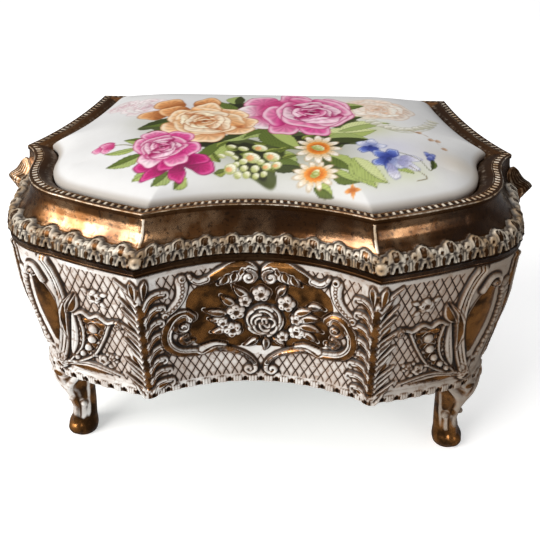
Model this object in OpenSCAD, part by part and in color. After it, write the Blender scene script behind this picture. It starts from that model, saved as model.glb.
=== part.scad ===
// Footed trinket box in cast metal: a serpentine body on four cabriole feet, a hinged lid with
// a coved frame, a domed porcelain plaque let into the lid, and a velvet lining inside.
// X is the width, the front faces -Y, and the feet stand on z = 0. All sizes are in millimetres.

/* [Plan of the box] */
// Half width of the lid rim at its side points
rim_half_w = 62; // [56:0.5:64]
// Distance from the line through the side points to the two front points of the rim
rim_front = 36; // [32:0.5:38]
// Distance from the line through the side points to the straight back of the rim
rim_back = 38; // [36:0.5:42]
// How far the rim is hollowed in the middle of the front
rim_hollow = 6; // [3:0.5:8]
// How far the lid's flange stands out past the rim at the side points
flange_out = 4.6; // [3:0.2:5]

/* [Heights] */
// Height of the feet
foot_h = 27.5; // [22:0.5:32]
// Height of the body's wall
body_h = 36.9; // [30:0.1:45]
// Gap between the body and the closed lid
lid_gap = 0.3; // [0.2:0.1:0.5]
// Height of the lid from its lower edge to the rim
lid_h = 13.8; // [12:0.1:16]
// How far the porcelain's crown rises above the rim
dome_h = 6.4; // [4.5:0.1:7]

/* [Inside] */
// Thickness of the padded wall panels
lining_t = 2; // [1:0.1:3]
// Thickness of the padded floor
floor_pad_t = 3; // [2:0.1:5]

/* [Hinge] */
// Length of the hinge
hinge_len = 40; // [30:1:60]
// Outer radius of the hinge knuckles
knuckle_r = 1.5; // [1.3:0.1:1.6]
// Radius of the hinge pin
pin_r = 0.75; // [0.6:0.05:0.9]

/* [Hidden] */
eps = 0.01;

// Heights of the main levels
z_body = foot_h;
z_body_top = z_body + body_h;
z_lid = z_body_top + lid_gap;
z_rim = z_lid + lid_h;
z_seat = z_rim - 1.9;

// Hinge axis, just behind the flange and level with the gap, from the line of side points
hinge_back = rim_back + 2.4 + knuckle_r;
// Y of the line through the side points, which centres the whole box on y = 0
side_y = (rim_front + 5.3 - hinge_back - knuckle_r) / 2;
axis_y = side_y + hinge_back;
axis_z = z_body_top + 0.1;

// A plan is eight points of its right half: the middle of the hollow front, the front point,
// the start, corner and end of the round front corner, the side point, the pull of the
// hollow side behind it, and the back corner. They are measured from the side points' line.
RIM = [
  [0, rim_hollow - rim_front], [25.2, -rim_front], [46, -27.7], [56, -23.5], [57, -12.5],
  [rim_half_w, 0], [54, 14], [50.8, rim_back]];
FLANGE = [
  [0, rim_hollow - rim_front - 2.2], [27.2, -rim_front - 5.3], [49, -32.8], [62.5, -29],
  [63, -15], [rim_half_w + flange_out, 0], [58, 15], [54.5, rim_back + 2]];
BODY_BOTTOM = [
  [0, rim_hollow - rim_front - 0.8], [27.5, -rim_front - 2.2], [47, -32.3], [57.8, -29],
  [57.4, -14], [rim_half_w - 1, 0], [54, 14], [51, rim_back - 0.6]];
BODY_INSIDE = [
  [0, rim_hollow - rim_front + 1.7], [26.2, -rim_front + 0.8], [45.6, -29.6], [54.8, -26.4],
  [54.4, -13.4], [rim_half_w - 4, 0], [51.6, 14], [48.6, rim_back - 3]];
PLAQUE = [
  [0, rim_hollow - rim_front + 3], [24.8, -rim_front + 4], [44.2, -24.2], [51.4, -20.6],
  [51.8, -9.5], [rim_half_w - 6.2, 0.6], [49.2, 13], [46, rim_back - 3.4]];
WINDOW = [
  [0, rim_hollow - rim_front + 8.6], [21, -rim_front + 10], [41, -19.6], [48, -16.4],
  [49.2, -8], [rim_half_w - 9.5, 1], [46.6, 12.6], [43, rim_back - 8]];

// Points on each stretch of a plan's right half
STEPS = [8, 5, 6, 5, 8, 4];
half_n = STEPS[0] + STEPS[1] + STEPS[2] + STEPS[3] + STEPS[4] + STEPS[5];
ring_n = 2 * half_n;
i_front = STEPS[0];
i_side = i_front + STEPS[1] + STEPS[2] + STEPS[3];
i_back = i_side + STEPS[4];

function mix(a, b, u) = a + (b - a) * u;
function curve(a, pull, b, n) =
  [for (i = [0:n - 1]) let (t = i / n) a * pow(1 - t, 2) + pull * 2 * t * (1 - t) + b * t * t];
// The gently bowed run from a front point to the round corner
function bowed(a, b) = (a + b) / 2 + [0.3, -0.8];
function half_plan(k) = concat(
  curve(k[0], [k[1][0] / 2, k[0][1]], k[1], STEPS[0]),
  curve(k[1], bowed(k[1], k[2]), k[2], STEPS[1]),
  curve(k[2], k[3], k[4], STEPS[2]),
  curve(k[4], [k[4][0] + 0.4, k[4][1] * 0.35], k[5], STEPS[3]),
  curve(k[5], k[6], k[7], STEPS[4]),
  curve(k[7], [k[7][0] / 2, k[7][1]], [0, k[7][1]], STEPS[5]));
function plan(k) = let (h = half_plan(k)) concat(
  [for (p = h) [p[0], p[1] + side_y]], [[0, k[7][1] + side_y]],
  [for (i = [half_n - 1:-1:1]) [-h[i][0], h[i][1] + side_y]]);
function ring(z, k) = [for (p = plan(k)) [p[0], p[1], z]];
function flatten(list) = [for (part = list) for (item = part) item];
function wall_faces(lower, upper, n) = flatten([for (j = [0:n - 1]) let (
  a = lower * n + j, b = lower * n + (j + 1) % n, c = upper * n + (j + 1) % n, d = upper * n + j)
  [[a, d, c], [a, c, b]]]);

// A closed band of rings, each joined to the next and the last to the first
module hoop(rings) {
  count = len(rings);
  polyhedron(flatten(rings), flatten([for (i = [0:count - 1]) wall_faces(i, (i + 1) % count, ring_n)]));
}

// A stack of rings with a flat lid and a flat bottom
module stack(rings, n) {
  count = len(rings);
  bottom = [for (j = [0:n - 1]) j];
  top = [for (j = [n - 1:-1:0]) (count - 1) * n + j];
  walls = flatten([for (i = [0:count - 2]) wall_faces(i, i + 1, n)]);
  polyhedron(flatten(rings), concat([bottom], walls, [top]));
}

module slab(k, z, t) {
  translate([0, 0, z]) linear_extrude(t) polygon(plan(k));
}

// Body: flares from the foot ring to the flange, with a moulding under the lid
BODY_TOP = mix(RIM, FLANGE, 0.9);
function body_level(h, flare) = ring(z_body + h * body_h, mix(BODY_BOTTOM, BODY_TOP, flare));
module body_shell() {
  color("ivory") hoop([
    body_level(0, 0.02), body_level(0.03, 0.10), body_level(0.08, 0.12), body_level(0.10, 0.08),
    body_level(0.3, 0.45), body_level(0.5, 0.73), body_level(0.7, 0.93), body_level(0.88, 0.99),
    body_level(0.95, 0.98), body_level(0.97, 1.04), body_level(1, 1.04),
    ring(z_body_top, BODY_INSIDE), ring(z_body, BODY_INSIDE)]);
}

// Base: a plate inside the foot of the body wall, felt under it and a card board over it
plate_t = 1.2;
felt_t = 0.6;
board_t = 1.5;
screw_r = 1.1;
screw_head_r = 2.2;
screw_head_t = 1;
// Screw places of the right-hand feet; the left-hand ones are mirrored
SCREW_AT = [[49.8, -19.8], [44, 29.4]];
screw_depth = 5;
module at_screws() {
  for (side = [-1, 1]) for (p = SCREW_AT) translate([side * p[0], p[1] + side_y, 0]) children();
}
module base_plate() {
  color("dimgray") difference() {
    slab(mix(BODY_INSIDE, WINDOW, 0.02), z_body, plate_t);
    at_screws() translate([0, 0, z_body - 1]) cylinder(h = plate_t + 2, r = screw_r + 0.1, $fn = 32);
  }
}
module base_felt() {
  color("darkgreen") difference() {
    slab(mix(BODY_INSIDE, WINDOW, 0.5), z_body - felt_t, felt_t);
    at_screws() translate([0, 0, z_body - 2]) cylinder(h = 3, r = foot_top_r + 2, $fn = 48);
  }
}
module floor_board() {
  color("tan") difference() {
    slab(mix(BODY_INSIDE, WINDOW, 0.04), z_body + plate_t, board_t);
    at_screws() translate([0, 0, z_body]) cylinder(h = 5, r = screw_head_r + 0.6, $fn = 32);
  }
}
module foot_screws() {
  color("silver") at_screws() {
    translate([0, 0, z_body - screw_depth])
      cylinder(h = screw_depth + plate_t + eps, r = screw_r, $fn = 32);
    translate([0, 0, z_body + plate_t]) cylinder(h = screw_head_t, r = screw_head_r, $fn = 32);
  }
}

// Feet: a cabriole leg whose knee and toe lean out towards the corner. Each level is the
// height as a share of the foot, the lean outwards and the half width.
foot_top_r = 6;
FOOT_SIDES = 16;
FOOT_LEVELS = [
  [0, 0.6, 3.5], [0.03, 0.7, 4.1], [0.1, 0.7, 4.2], [0.16, 0.2, 3.5], [0.35, -0.3, 3.3],
  [0.55, 0.0, 3.9], [0.75, 0.6, 5.0], [0.92, 0.5, 5.8], [1, 0, foot_top_r]];
module foot(at, lean, screw) {
  rings = [for (l = FOOT_LEVELS) [for (j = [0:FOOT_SIDES - 1]) let (a = 360 * j / FOOT_SIDES)
    [at[0] + lean[0] * l[1] + l[2] * cos(a), at[1] + side_y + lean[1] * l[1] + l[2] * sin(a),
     l[0] * foot_h]]];
  color("ivory") difference() {
    stack(rings, FOOT_SIDES);
    translate([screw[0], screw[1] + side_y, foot_h - screw_depth - 0.5])
      cylinder(h = screw_depth + 2, r = screw_r + 0.02, $fn = 32);
  }
}
FRONT_FOOT_AT = [51.4, -20.8];
REAR_FOOT_AT = [45.6, 30.8];
module front_foot(side) {
  foot([side * FRONT_FOOT_AT[0], FRONT_FOOT_AT[1]], [side, -1], [side * SCREW_AT[0][0], SCREW_AT[0][1]]);
}
module rear_foot(side) {
  foot([side * REAR_FOOT_AT[0], REAR_FOOT_AT[1]], [side, 1], [side * SCREW_AT[1][0], SCREW_AT[1][1]]);
}

// Lining: padded panels on the wall, which meet at the points of the plan
z_floor_pad = z_body + plate_t + board_t;
z_lining_top = z_body_top - 1.2;
LINING_OUT = mix(BODY_INSIDE, WINDOW, 0.04);
LINING_IN = mix(BODY_INSIDE, WINDOW, 0.04 + lining_t / 7);
module lining(first, last) {
  outer = plan(LINING_OUT);
  inner = plan(LINING_IN);
  color("firebrick") translate([0, 0, z_floor_pad]) linear_extrude(z_lining_top - z_floor_pad)
    polygon(concat(
      [for (i = [first:last]) outer[i % ring_n]],
      [for (i = [last:-1:first]) inner[i % ring_n]]));
}
module floor_pad() {
  color("firebrick") slab(mix(LINING_IN, WINDOW, 0.05), z_floor_pad, floor_pad_t);
}

// Hinge: two leaves soldered to the straight back, with five knuckles on one pin
leaf_t = 0.9;
leaf_h = 6;
knuckles = 5;
knuckle_len = hinge_len / knuckles;
body_back_y = side_y + mix(RIM, FLANGE, 0.9)[7][1];
lid_back_y = side_y + FLANGE[7][1];
module knuckle(i, gap) {
  translate([i * knuckle_len - hinge_len / 2 + gap, axis_y, axis_z]) rotate([0, 90, 0])
    cylinder(h = knuckle_len - 2 * gap, r = knuckle_r, $fn = 40);
}
module knuckle_room(i) {
  translate([i * knuckle_len - hinge_len / 2 - 0.1, axis_y, axis_z]) rotate([0, 90, 0])
    cylinder(h = knuckle_len + 0.2, r = knuckle_r + 0.3, $fn = 40);
}
module pin_room() {
  translate([-hinge_len / 2 - 1, axis_y, axis_z]) rotate([0, 90, 0])
    cylinder(h = hinge_len + 2, r = pin_r + 0.05, $fn = 40);
}
// First knuckle of a leaf and the leaf's plate from z_low up by leaf_h
module leaf(first, wall_y, z_low, web_z) {
  color("goldenrod") difference() {
    union() {
      translate([-hinge_len / 2, wall_y, z_low]) cube([hinge_len, leaf_t, leaf_h]);
      for (i = [first:2:knuckles - 1]) {
        knuckle(i, 0.1);
        translate([i * knuckle_len - hinge_len / 2 + 0.1, wall_y, web_z])
          cube([knuckle_len - 0.2, axis_y - wall_y, 0.9]);
      }
    }
    for (i = [1 - first:2:knuckles - 1]) knuckle_room(i);
    pin_room();
  }
}
module hinge_body_leaf() {
  leaf(0, body_back_y + 0.28, z_body_top - leaf_h - 0.4, axis_z - knuckle_r);
}
module hinge_lid_leaf() {
  leaf(1, lid_back_y, z_lid + 0.2, axis_z + knuckle_r - 0.9);
}
module hinge_pin() {
  color("silver") translate([-hinge_len / 2 - 0.8, axis_y, axis_z]) rotate([0, 90, 0]) {
    cylinder(h = hinge_len + 1.6, r = pin_r, $fn = 40);
    translate([0, 0, -0.8]) cylinder(h = 0.8 + eps, r = pin_r + 0.5, $fn = 40);
    translate([0, 0, hinge_len + 1.6 - eps]) cylinder(h = 0.8, r = pin_r + 0.5, $fn = 40);
  }
}

// Lid frame: plain band, leaf border, cove and beaded rim outside; a ledge that carries the
// porcelain inside. Each outer level is the height over the lid's edge and the flare.
LID_OUTER = [
  [0, 0.96], [0.3, 1], [2.1, 1], [2.4, 0.93], [4.1, 0.87], [5.7, 0.74], [6.2, 0.56], [7.3, 0.36],
  [8.9, 0.18], [10.8, 0.05], [12.4, 0], [12.7, 0.06], [13.5, 0.06], [lid_h, 0]];
LID_INSIDE = mix(RIM, WINDOW, 0.3);
module lid_frame() {
  color("darkgoldenrod") hoop(concat(
    [for (l = LID_OUTER) ring(z_lid + l[0], mix(RIM, FLANGE, l[1]))],
    [ring(z_rim, mix(RIM, PLAQUE, 0.5)), ring(z_rim - 0.5, mix(RIM, PLAQUE, 0.7)),
     ring(z_seat, mix(RIM, PLAQUE, 0.94)), ring(z_seat, WINDOW), ring(z_seat - 1.2, WINDOW),
     ring(z_seat - 1.2, LID_INSIDE), ring(z_lid, LID_INSIDE)]));
}

// Side crest: the curled leaf that stands on the leaf border at each side point
crest_z = z_lid + 3.7;
crest_x = rim_half_w + flange_out + 0.6;
module crest_bar(x, z, length, r) {
  translate([x, side_y, z]) rotate([90, 0, 0]) cylinder(h = length, r = r, center = true, $fn = 32);
}
module side_crest(side) {
  color("darkgoldenrod") hull() {
    crest_bar(side * crest_x, crest_z, 5, 1.6);
    crest_bar(side * (crest_x - 2.8), crest_z + 3.7, 3.6, 0.9);
    crest_bar(side * (crest_x - 3.6), crest_z - 0.3, 6, 1.4);
  }
}

// Porcelain: a slab that rises round its edge and is almost flat over its crown
CROWN = [0.99, 0.97, 0.94, 0.9, 0.85, 0.78, 0.68, 0.5, 0.25];
crown_power = 6.5;
function crown_z(s) = z_rim - 0.2 + (dome_h + 0.2) * (1 - pow(s, crown_power));
crown_mid = [0, side_y + (rim_back - rim_front) / 2 + 0.6];
function crown_ring(s) = [for (p = plan(PLAQUE))
  [p[0] * s + crown_mid[0] * (1 - s), p[1] * s + crown_mid[1] * (1 - s),
   crown_z(s)]];
module porcelain_plaque() {
  color("white") stack(concat(
    [ring(z_seat, mix(PLAQUE, WINDOW, 0.1)), ring(z_seat + 0.4, PLAQUE), ring(z_rim - 0.6, PLAQUE)],
    [for (s = CROWN) crown_ring(s)]), ring_n);
}
module plaque_bedding() {
  color("beige") slab(mix(WINDOW, PLAQUE, -0.08), z_seat - 1.2, 1.2);
}
module lid_backing_plate() {
  color("dimgray") slab(mix(LID_INSIDE, WINDOW, 0.08), z_seat - 2.2, 1);
}

// Tabs that hold the backing plate up against the ledge
tab_w = 5;
tab_in = 2.4;
tab_t = 0.8;
z_tab = z_seat - 2.2 - tab_t;
module plaque_tabs() {
  wall = LID_INSIDE;
  color("goldenrod") {
    for (side = [-1, 1]) {
      translate([side * 30 - tab_w / 2, side_y + wall[7][1] - tab_in, z_tab])
        cube([tab_w, tab_in, tab_t]);
      translate([side > 0 ? wall[5][0] - 1.6 * tab_in : 0.6 * tab_in - wall[5][0], side_y - tab_w / 4, z_tab])
        cube([tab_in, tab_w / 2, tab_t]);
    }
    for (x = [-9, 9]) translate([x - tab_w / 2, side_y + wall[0][1] + 0.1, z_tab])
      cube([tab_w, tab_in, tab_t]);
  }
}
lid_pad_t = 5.6;
module lid_lining() {
  color("firebrick") slab(mix(LID_INSIDE, WINDOW, 0.08), z_tab - 0.2 - lid_pad_t, lid_pad_t);
}

body_shell();
base_plate();
base_felt();
front_foot(-1);  // foot_front_left
front_foot(1);  // foot_front_right
rear_foot(-1);  // foot_rear_left
rear_foot(1);  // foot_rear_right
foot_screws();
floor_board();
floor_pad();
lining(ring_n - i_front, ring_n + i_front);  // lining_front
lining(ring_n - i_side, ring_n - i_front);  // lining_front_left
lining(i_front, i_side);  // lining_front_right
lining(ring_n - i_back, ring_n - i_side);  // lining_side_left
lining(i_side, i_back);  // lining_side_right
lining(i_back, ring_n - i_back);  // lining_back
hinge_body_leaf();
hinge_pin();
hinge_lid_leaf();
lid_frame();
side_crest(-1);  // side_crest_left
side_crest(1);  // side_crest_right
porcelain_plaque();
plaque_bedding();
lid_backing_plate();
plaque_tabs();
lid_lining();
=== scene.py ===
"""Looks of a footed trinket box: cast relief, gilt cove, painted porcelain and velvet.

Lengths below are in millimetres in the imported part's frame; meshes are made in metres.
"""
import math

import bmesh
import bpy
import numpy as np
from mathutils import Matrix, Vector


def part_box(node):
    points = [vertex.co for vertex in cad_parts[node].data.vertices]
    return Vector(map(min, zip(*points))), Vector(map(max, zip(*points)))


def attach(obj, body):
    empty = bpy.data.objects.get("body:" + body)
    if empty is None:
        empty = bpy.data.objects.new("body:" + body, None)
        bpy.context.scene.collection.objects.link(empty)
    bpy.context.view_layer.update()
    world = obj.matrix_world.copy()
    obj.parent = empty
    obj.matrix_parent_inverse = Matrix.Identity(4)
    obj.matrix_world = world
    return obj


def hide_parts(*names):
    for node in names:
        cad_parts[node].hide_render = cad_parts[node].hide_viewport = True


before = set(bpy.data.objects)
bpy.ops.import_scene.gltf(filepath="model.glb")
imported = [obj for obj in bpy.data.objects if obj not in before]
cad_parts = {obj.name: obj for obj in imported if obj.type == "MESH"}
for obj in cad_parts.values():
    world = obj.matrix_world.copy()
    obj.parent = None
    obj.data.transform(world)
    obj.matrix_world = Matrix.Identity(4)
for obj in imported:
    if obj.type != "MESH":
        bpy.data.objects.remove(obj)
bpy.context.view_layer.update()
MM = 0.001
FAR = 99.0


# ---------------------------------------------------------------- places taken from the frame
def span(node):
    """Lowest and highest corner of a CAD node, in mm."""
    low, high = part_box(node)
    return np.array(low) / MM, np.array(high) / MM


BODY_LOW, BODY_HIGH = span("body_shell")
LID_LOW, LID_HIGH = span("lid_frame")
PLAQUE_LOW, PLAQUE_HIGH = span("porcelain_plaque")
Z_BODY, Z_BODY_TOP = BODY_LOW[2], BODY_HIGH[2]
Z_LID, Z_RIM = LID_LOW[2], LID_HIGH[2]
Z_SEAT, Z_CROWN = PLAQUE_LOW[2], PLAQUE_HIGH[2]
WALL_H = Z_BODY_TOP - Z_BODY

# Plans as in the CAD source: the middle of the hollow front, the front point, the start,
# corner and end of the round front corner, the side point, the pull of the hollow side
# behind it, and the back corner, measured from the line through the side points.
RIM = np.array([
    (0, -30), (25.2, -36), (46, -27.7), (56, -23.5), (57, -12.5), (62, 0), (54, 14), (50.8, 38)])
FLANGE = np.array([
    (0, -32.2), (27.2, -41.3), (49, -32.8), (62.5, -29), (63, -15), (66.6, 0), (58, 15), (54.5, 40)])
BODY_BOTTOM = np.array([
    (0, -30.8), (27.5, -38.2), (47, -32.3), (57.8, -29), (57.4, -14), (61, 0), (54, 14), (51, 37.4)])
BODY_INSIDE = np.array([
    (0, -28.3), (26.2, -35.2), (45.6, -29.6), (54.8, -26.4), (54.4, -13.4), (58, 0), (51.6, 14),
    (48.6, 35)])
PLAQUE = np.array([
    (0, -27), (24.8, -32), (44.2, -24.2), (51.4, -20.6), (51.8, -9.5), (55.8, 0.6), (49.2, 13),
    (46, 34.6)])
WINDOW = np.array([
    (0, -21.4), (21, -26), (41, -19.6), (48, -16.4), (49.2, -8), (52.5, 1), (46.6, 12.6), (43, 30)])
SIDE_Y = LID_LOW[1] - FLANGE[1][1]
T_FRONT, T_SIDE, T_BACK, T_END = 1, 4, 5, 6


def mix(a, b, share):
    """The place or colour that lies a share of the way from a to b."""
    return a + (b - a) * share


def bend(a, pull, b, t):
    """A quadratic curve from a to b."""
    t = t[:, None]
    return a * (1 - t) ** 2 + pull * 2 * t * (1 - t) + b * t * t


def half_plan(keys, t):
    """Points of a plan's right half at t, from 0 in the middle of the front to 6 at the back."""
    k = keys
    legs = [
        (k[0], np.array((k[1][0] / 2, k[0][1])), k[1]),
        (k[1], (k[1] + k[2]) / 2 + np.array((0.3, -0.8)), k[2]),
        (k[2], k[3], k[4]),
        (k[4], np.array((k[4][0] + 0.4, k[4][1] * 0.35)), k[5]),
        (k[5], k[6], k[7]),
        (k[7], np.array((k[7][0] / 2, k[7][1])), np.array((0, k[7][1])))]
    out = np.zeros((len(t), 2))
    for i, (a, pull, b) in enumerate(legs):
        on = (t >= i) & ((t < i + 1) | (i == T_END - 1))
        out[on] = bend(a, pull, b, t[on] - i)
    return out


def plan(keys, t):
    """Plan points at signed t: negative t is the left half."""
    p = half_plan(keys, np.abs(t))
    p[:, 0] *= np.where(t < 0, -1, 1)
    p[:, 1] += SIDE_Y
    return p


def level(xy, z):
    """Points of a plan lifted to a height."""
    return np.c_[xy, np.full(len(xy), z)]


def ring(keys, t, z):
    """A plan's points at signed t and at a height."""
    return level(plan(keys, t), z)


BODY_TOP, LID_INSIDE = mix(RIM, FLANGE, 0.9), mix(RIM, WINDOW, 0.3)
T_FINE = np.linspace(0, T_END, 6001)
_walk = half_plan(mix(BODY_BOTTOM, BODY_TOP, 0.6), T_FINE)
ARC_FINE = np.r_[0, np.cumsum(np.linalg.norm(np.diff(_walk, axis=0), axis=1))]


def arc_at(t):
    """Distance along the wall from the middle of the front to t."""
    return float(np.interp(t, T_FINE, ARC_FINE))


def t_at(arc):
    """Signed t at a signed distance along the wall."""
    return np.sign(arc) * np.interp(np.abs(arc), ARC_FINE, T_FINE)


ARC_FRONT, ARC_SIDE, ARC_BACK, ARC_END = (arc_at(t) for t in (T_FRONT, T_SIDE, T_BACK, T_END))


def columns(fine, coarse):
    """Signed distances round the wall: fine over the front and corners, coarse at the back."""
    marks = [(0, ARC_FRONT, fine), (ARC_FRONT, ARC_SIDE, fine * 1.1), (ARC_SIDE, ARC_BACK, coarse),
             (ARC_BACK, ARC_END, coarse)]
    right = np.concatenate([
        np.linspace(a, b, max(2, round((b - a) / step)), endpoint=False) for a, b, step in marks])
    return np.concatenate([right, [ARC_END], -right[:0:-1]])


# ---------------------------------------------------------------- meshes
def add_mesh(name, verts, quads, masks=None):
    """A mesh object from points in mm and four-cornered faces, with a colour mask on points."""
    mesh = bpy.data.meshes.new(name)
    mesh.vertices.add(len(verts))
    mesh.vertices.foreach_set("co", (np.asarray(verts, float) * MM).ravel())
    faces = np.asarray(quads, np.int32)
    mesh.loops.add(faces.size)
    mesh.loops.foreach_set("vertex_index", faces.ravel())
    mesh.polygons.add(len(faces))
    mesh.polygons.foreach_set("loop_start", np.arange(0, faces.size, faces.shape[1], dtype=np.int32))
    mesh.update(calc_edges=True)
    mesh.validate()
    mesh.polygons.foreach_set("use_smooth", np.full(len(mesh.polygons), True))
    if masks is not None:
        layer = mesh.color_attributes.new("Mask", "FLOAT_COLOR", "POINT")
        rgba = np.c_[np.asarray(masks, float), np.ones(len(verts))]
        layer.data.foreach_set("color", rgba.ravel())
    ob = bpy.data.objects.new(name, mesh)
    bpy.context.scene.collection.objects.link(ob)
    return ob


def mesh_points(mesh):
    """A mesh's points as rows of three, in metres."""
    flat = np.empty(len(mesh.vertices) * 3)
    mesh.vertices.foreach_get("co", flat)
    return flat.reshape(-1, 3)


def grid_quads(rows, cols, wrap_rows=False, wrap_cols=False):
    """Faces of a grid of points, numbered row by row. Rows run up and columns run round."""
    r = np.arange(rows if wrap_rows else rows - 1)[:, None]
    c = np.arange(cols if wrap_cols else cols - 1)[None, :]
    r1, c1 = (r + 1) % rows, (c + 1) % cols
    corners = [r * cols + c, r * cols + c1, r1 * cols + c1, r1 * cols + c]
    return np.stack([np.broadcast_to(k, (r.size, c.size)) for k in corners], -1).reshape(-1, 4)


def add_grid(name, points, masks=None, wrap_rows=False, wrap_cols=True, flip=False):
    """A mesh object from a grid of points, which closes on itself where wrapping holds."""
    quads = grid_quads(*points.shape[:2], wrap_rows, wrap_cols)
    return add_mesh(name, points.reshape(-1, 3), quads[:, ::-1] if flip else quads,
                    None if masks is None else masks.reshape(-1, 3))


def grid_normals(p):
    """Outward unit normals of a grid of points whose columns close on themselves."""
    n = np.cross(np.roll(p, -1, 1) - np.roll(p, 1, 1), np.gradient(p, axis=0))
    return n / np.maximum(np.linalg.norm(n, axis=2, keepdims=True), 1e-9)


def blur(a, reach):
    """A soft box blur, run twice along both directions."""
    size = max(1, int(reach))
    kernel = np.ones(2 * size + 1) / (2 * size + 1)
    for _ in range(2):
        for axis in (0, 1):
            pad = [(size, size) if k == axis else (0, 0) for k in (0, 1)]
            wide = np.pad(a, pad, mode="edge")
            a = np.apply_along_axis(lambda line: np.convolve(line, kernel, "valid"), axis, wide)
    return a


def step_up(x, low, high):
    """A smooth step from 0 at low to 1 at high."""
    s = np.clip((x - low) / (high - low), 0, 1)
    return s * s * (3 - 2 * s)


def bell(x, at, width, power=2):
    """A smooth hump, 1 at a place and falling off over a width on both sides."""
    return np.exp(-((x - at) / width) ** power)


def dome(x, power=2):
    """A rounded rise, 1 at 0 and down to 0 at 1."""
    return np.sqrt(np.clip(1 - x ** power, 0, 1))


def sampled(grid, y, x):
    """Values of a grid of numbers or colours between its points."""
    i, j = y.astype(int), x.astype(int)
    fy, fx = y - i, x - j
    if grid.ndim == 3:
        fy, fx = fy[..., None], fx[..., None]
    return (grid[i, j] * (1 - fy) * (1 - fx) + grid[i, j + 1] * (1 - fy) * fx
            + grid[i + 1, j] * fy * (1 - fx) + grid[i + 1, j + 1] * fy * fx)


def through(points, count=12):
    """A smooth line through given points."""
    p = np.array(points, float)
    if len(p) == 2:
        return np.array([mix(p[0], p[1], s) for s in np.linspace(0, 1, count)])
    ends = np.vstack([2 * p[0] - p[1], p, 2 * p[-1] - p[-2]])
    out = []
    for i in range(len(p) - 1):
        a, b, c, d = ends[i:i + 4]
        for s in np.linspace(0, 1, count, endpoint=i == len(p) - 2):
            out.append(0.5 * (2 * b + (c - a) * s + (2 * a - 5 * b + 4 * c - d) * s ** 2
                              + (3 * b - a - 3 * c + d) * s ** 3))
    return np.array(out)


def spiral(centre, r_out, r_in, start_deg, turns, count=40):
    """A volute's line from its outside to its eye. Negative turns run clockwise."""
    s = np.linspace(0, 1, count)
    angle = np.radians(start_deg) + 2 * math.pi * turns * s
    r = r_out + (r_in - r_out) * s ** 0.8
    return np.c_[centre[0] + r * np.cos(angle), centre[1] + r * np.sin(angle)]


def mirrored(points, side):
    """A smooth line through points that side, +1 or -1, mirrors about the middle."""
    return through([(side * u, v) for u, v in points])


LATTICE_ACROSS, LATTICE_UP = 2.2, 4.3
BORDER_PITCH = 4


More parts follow.
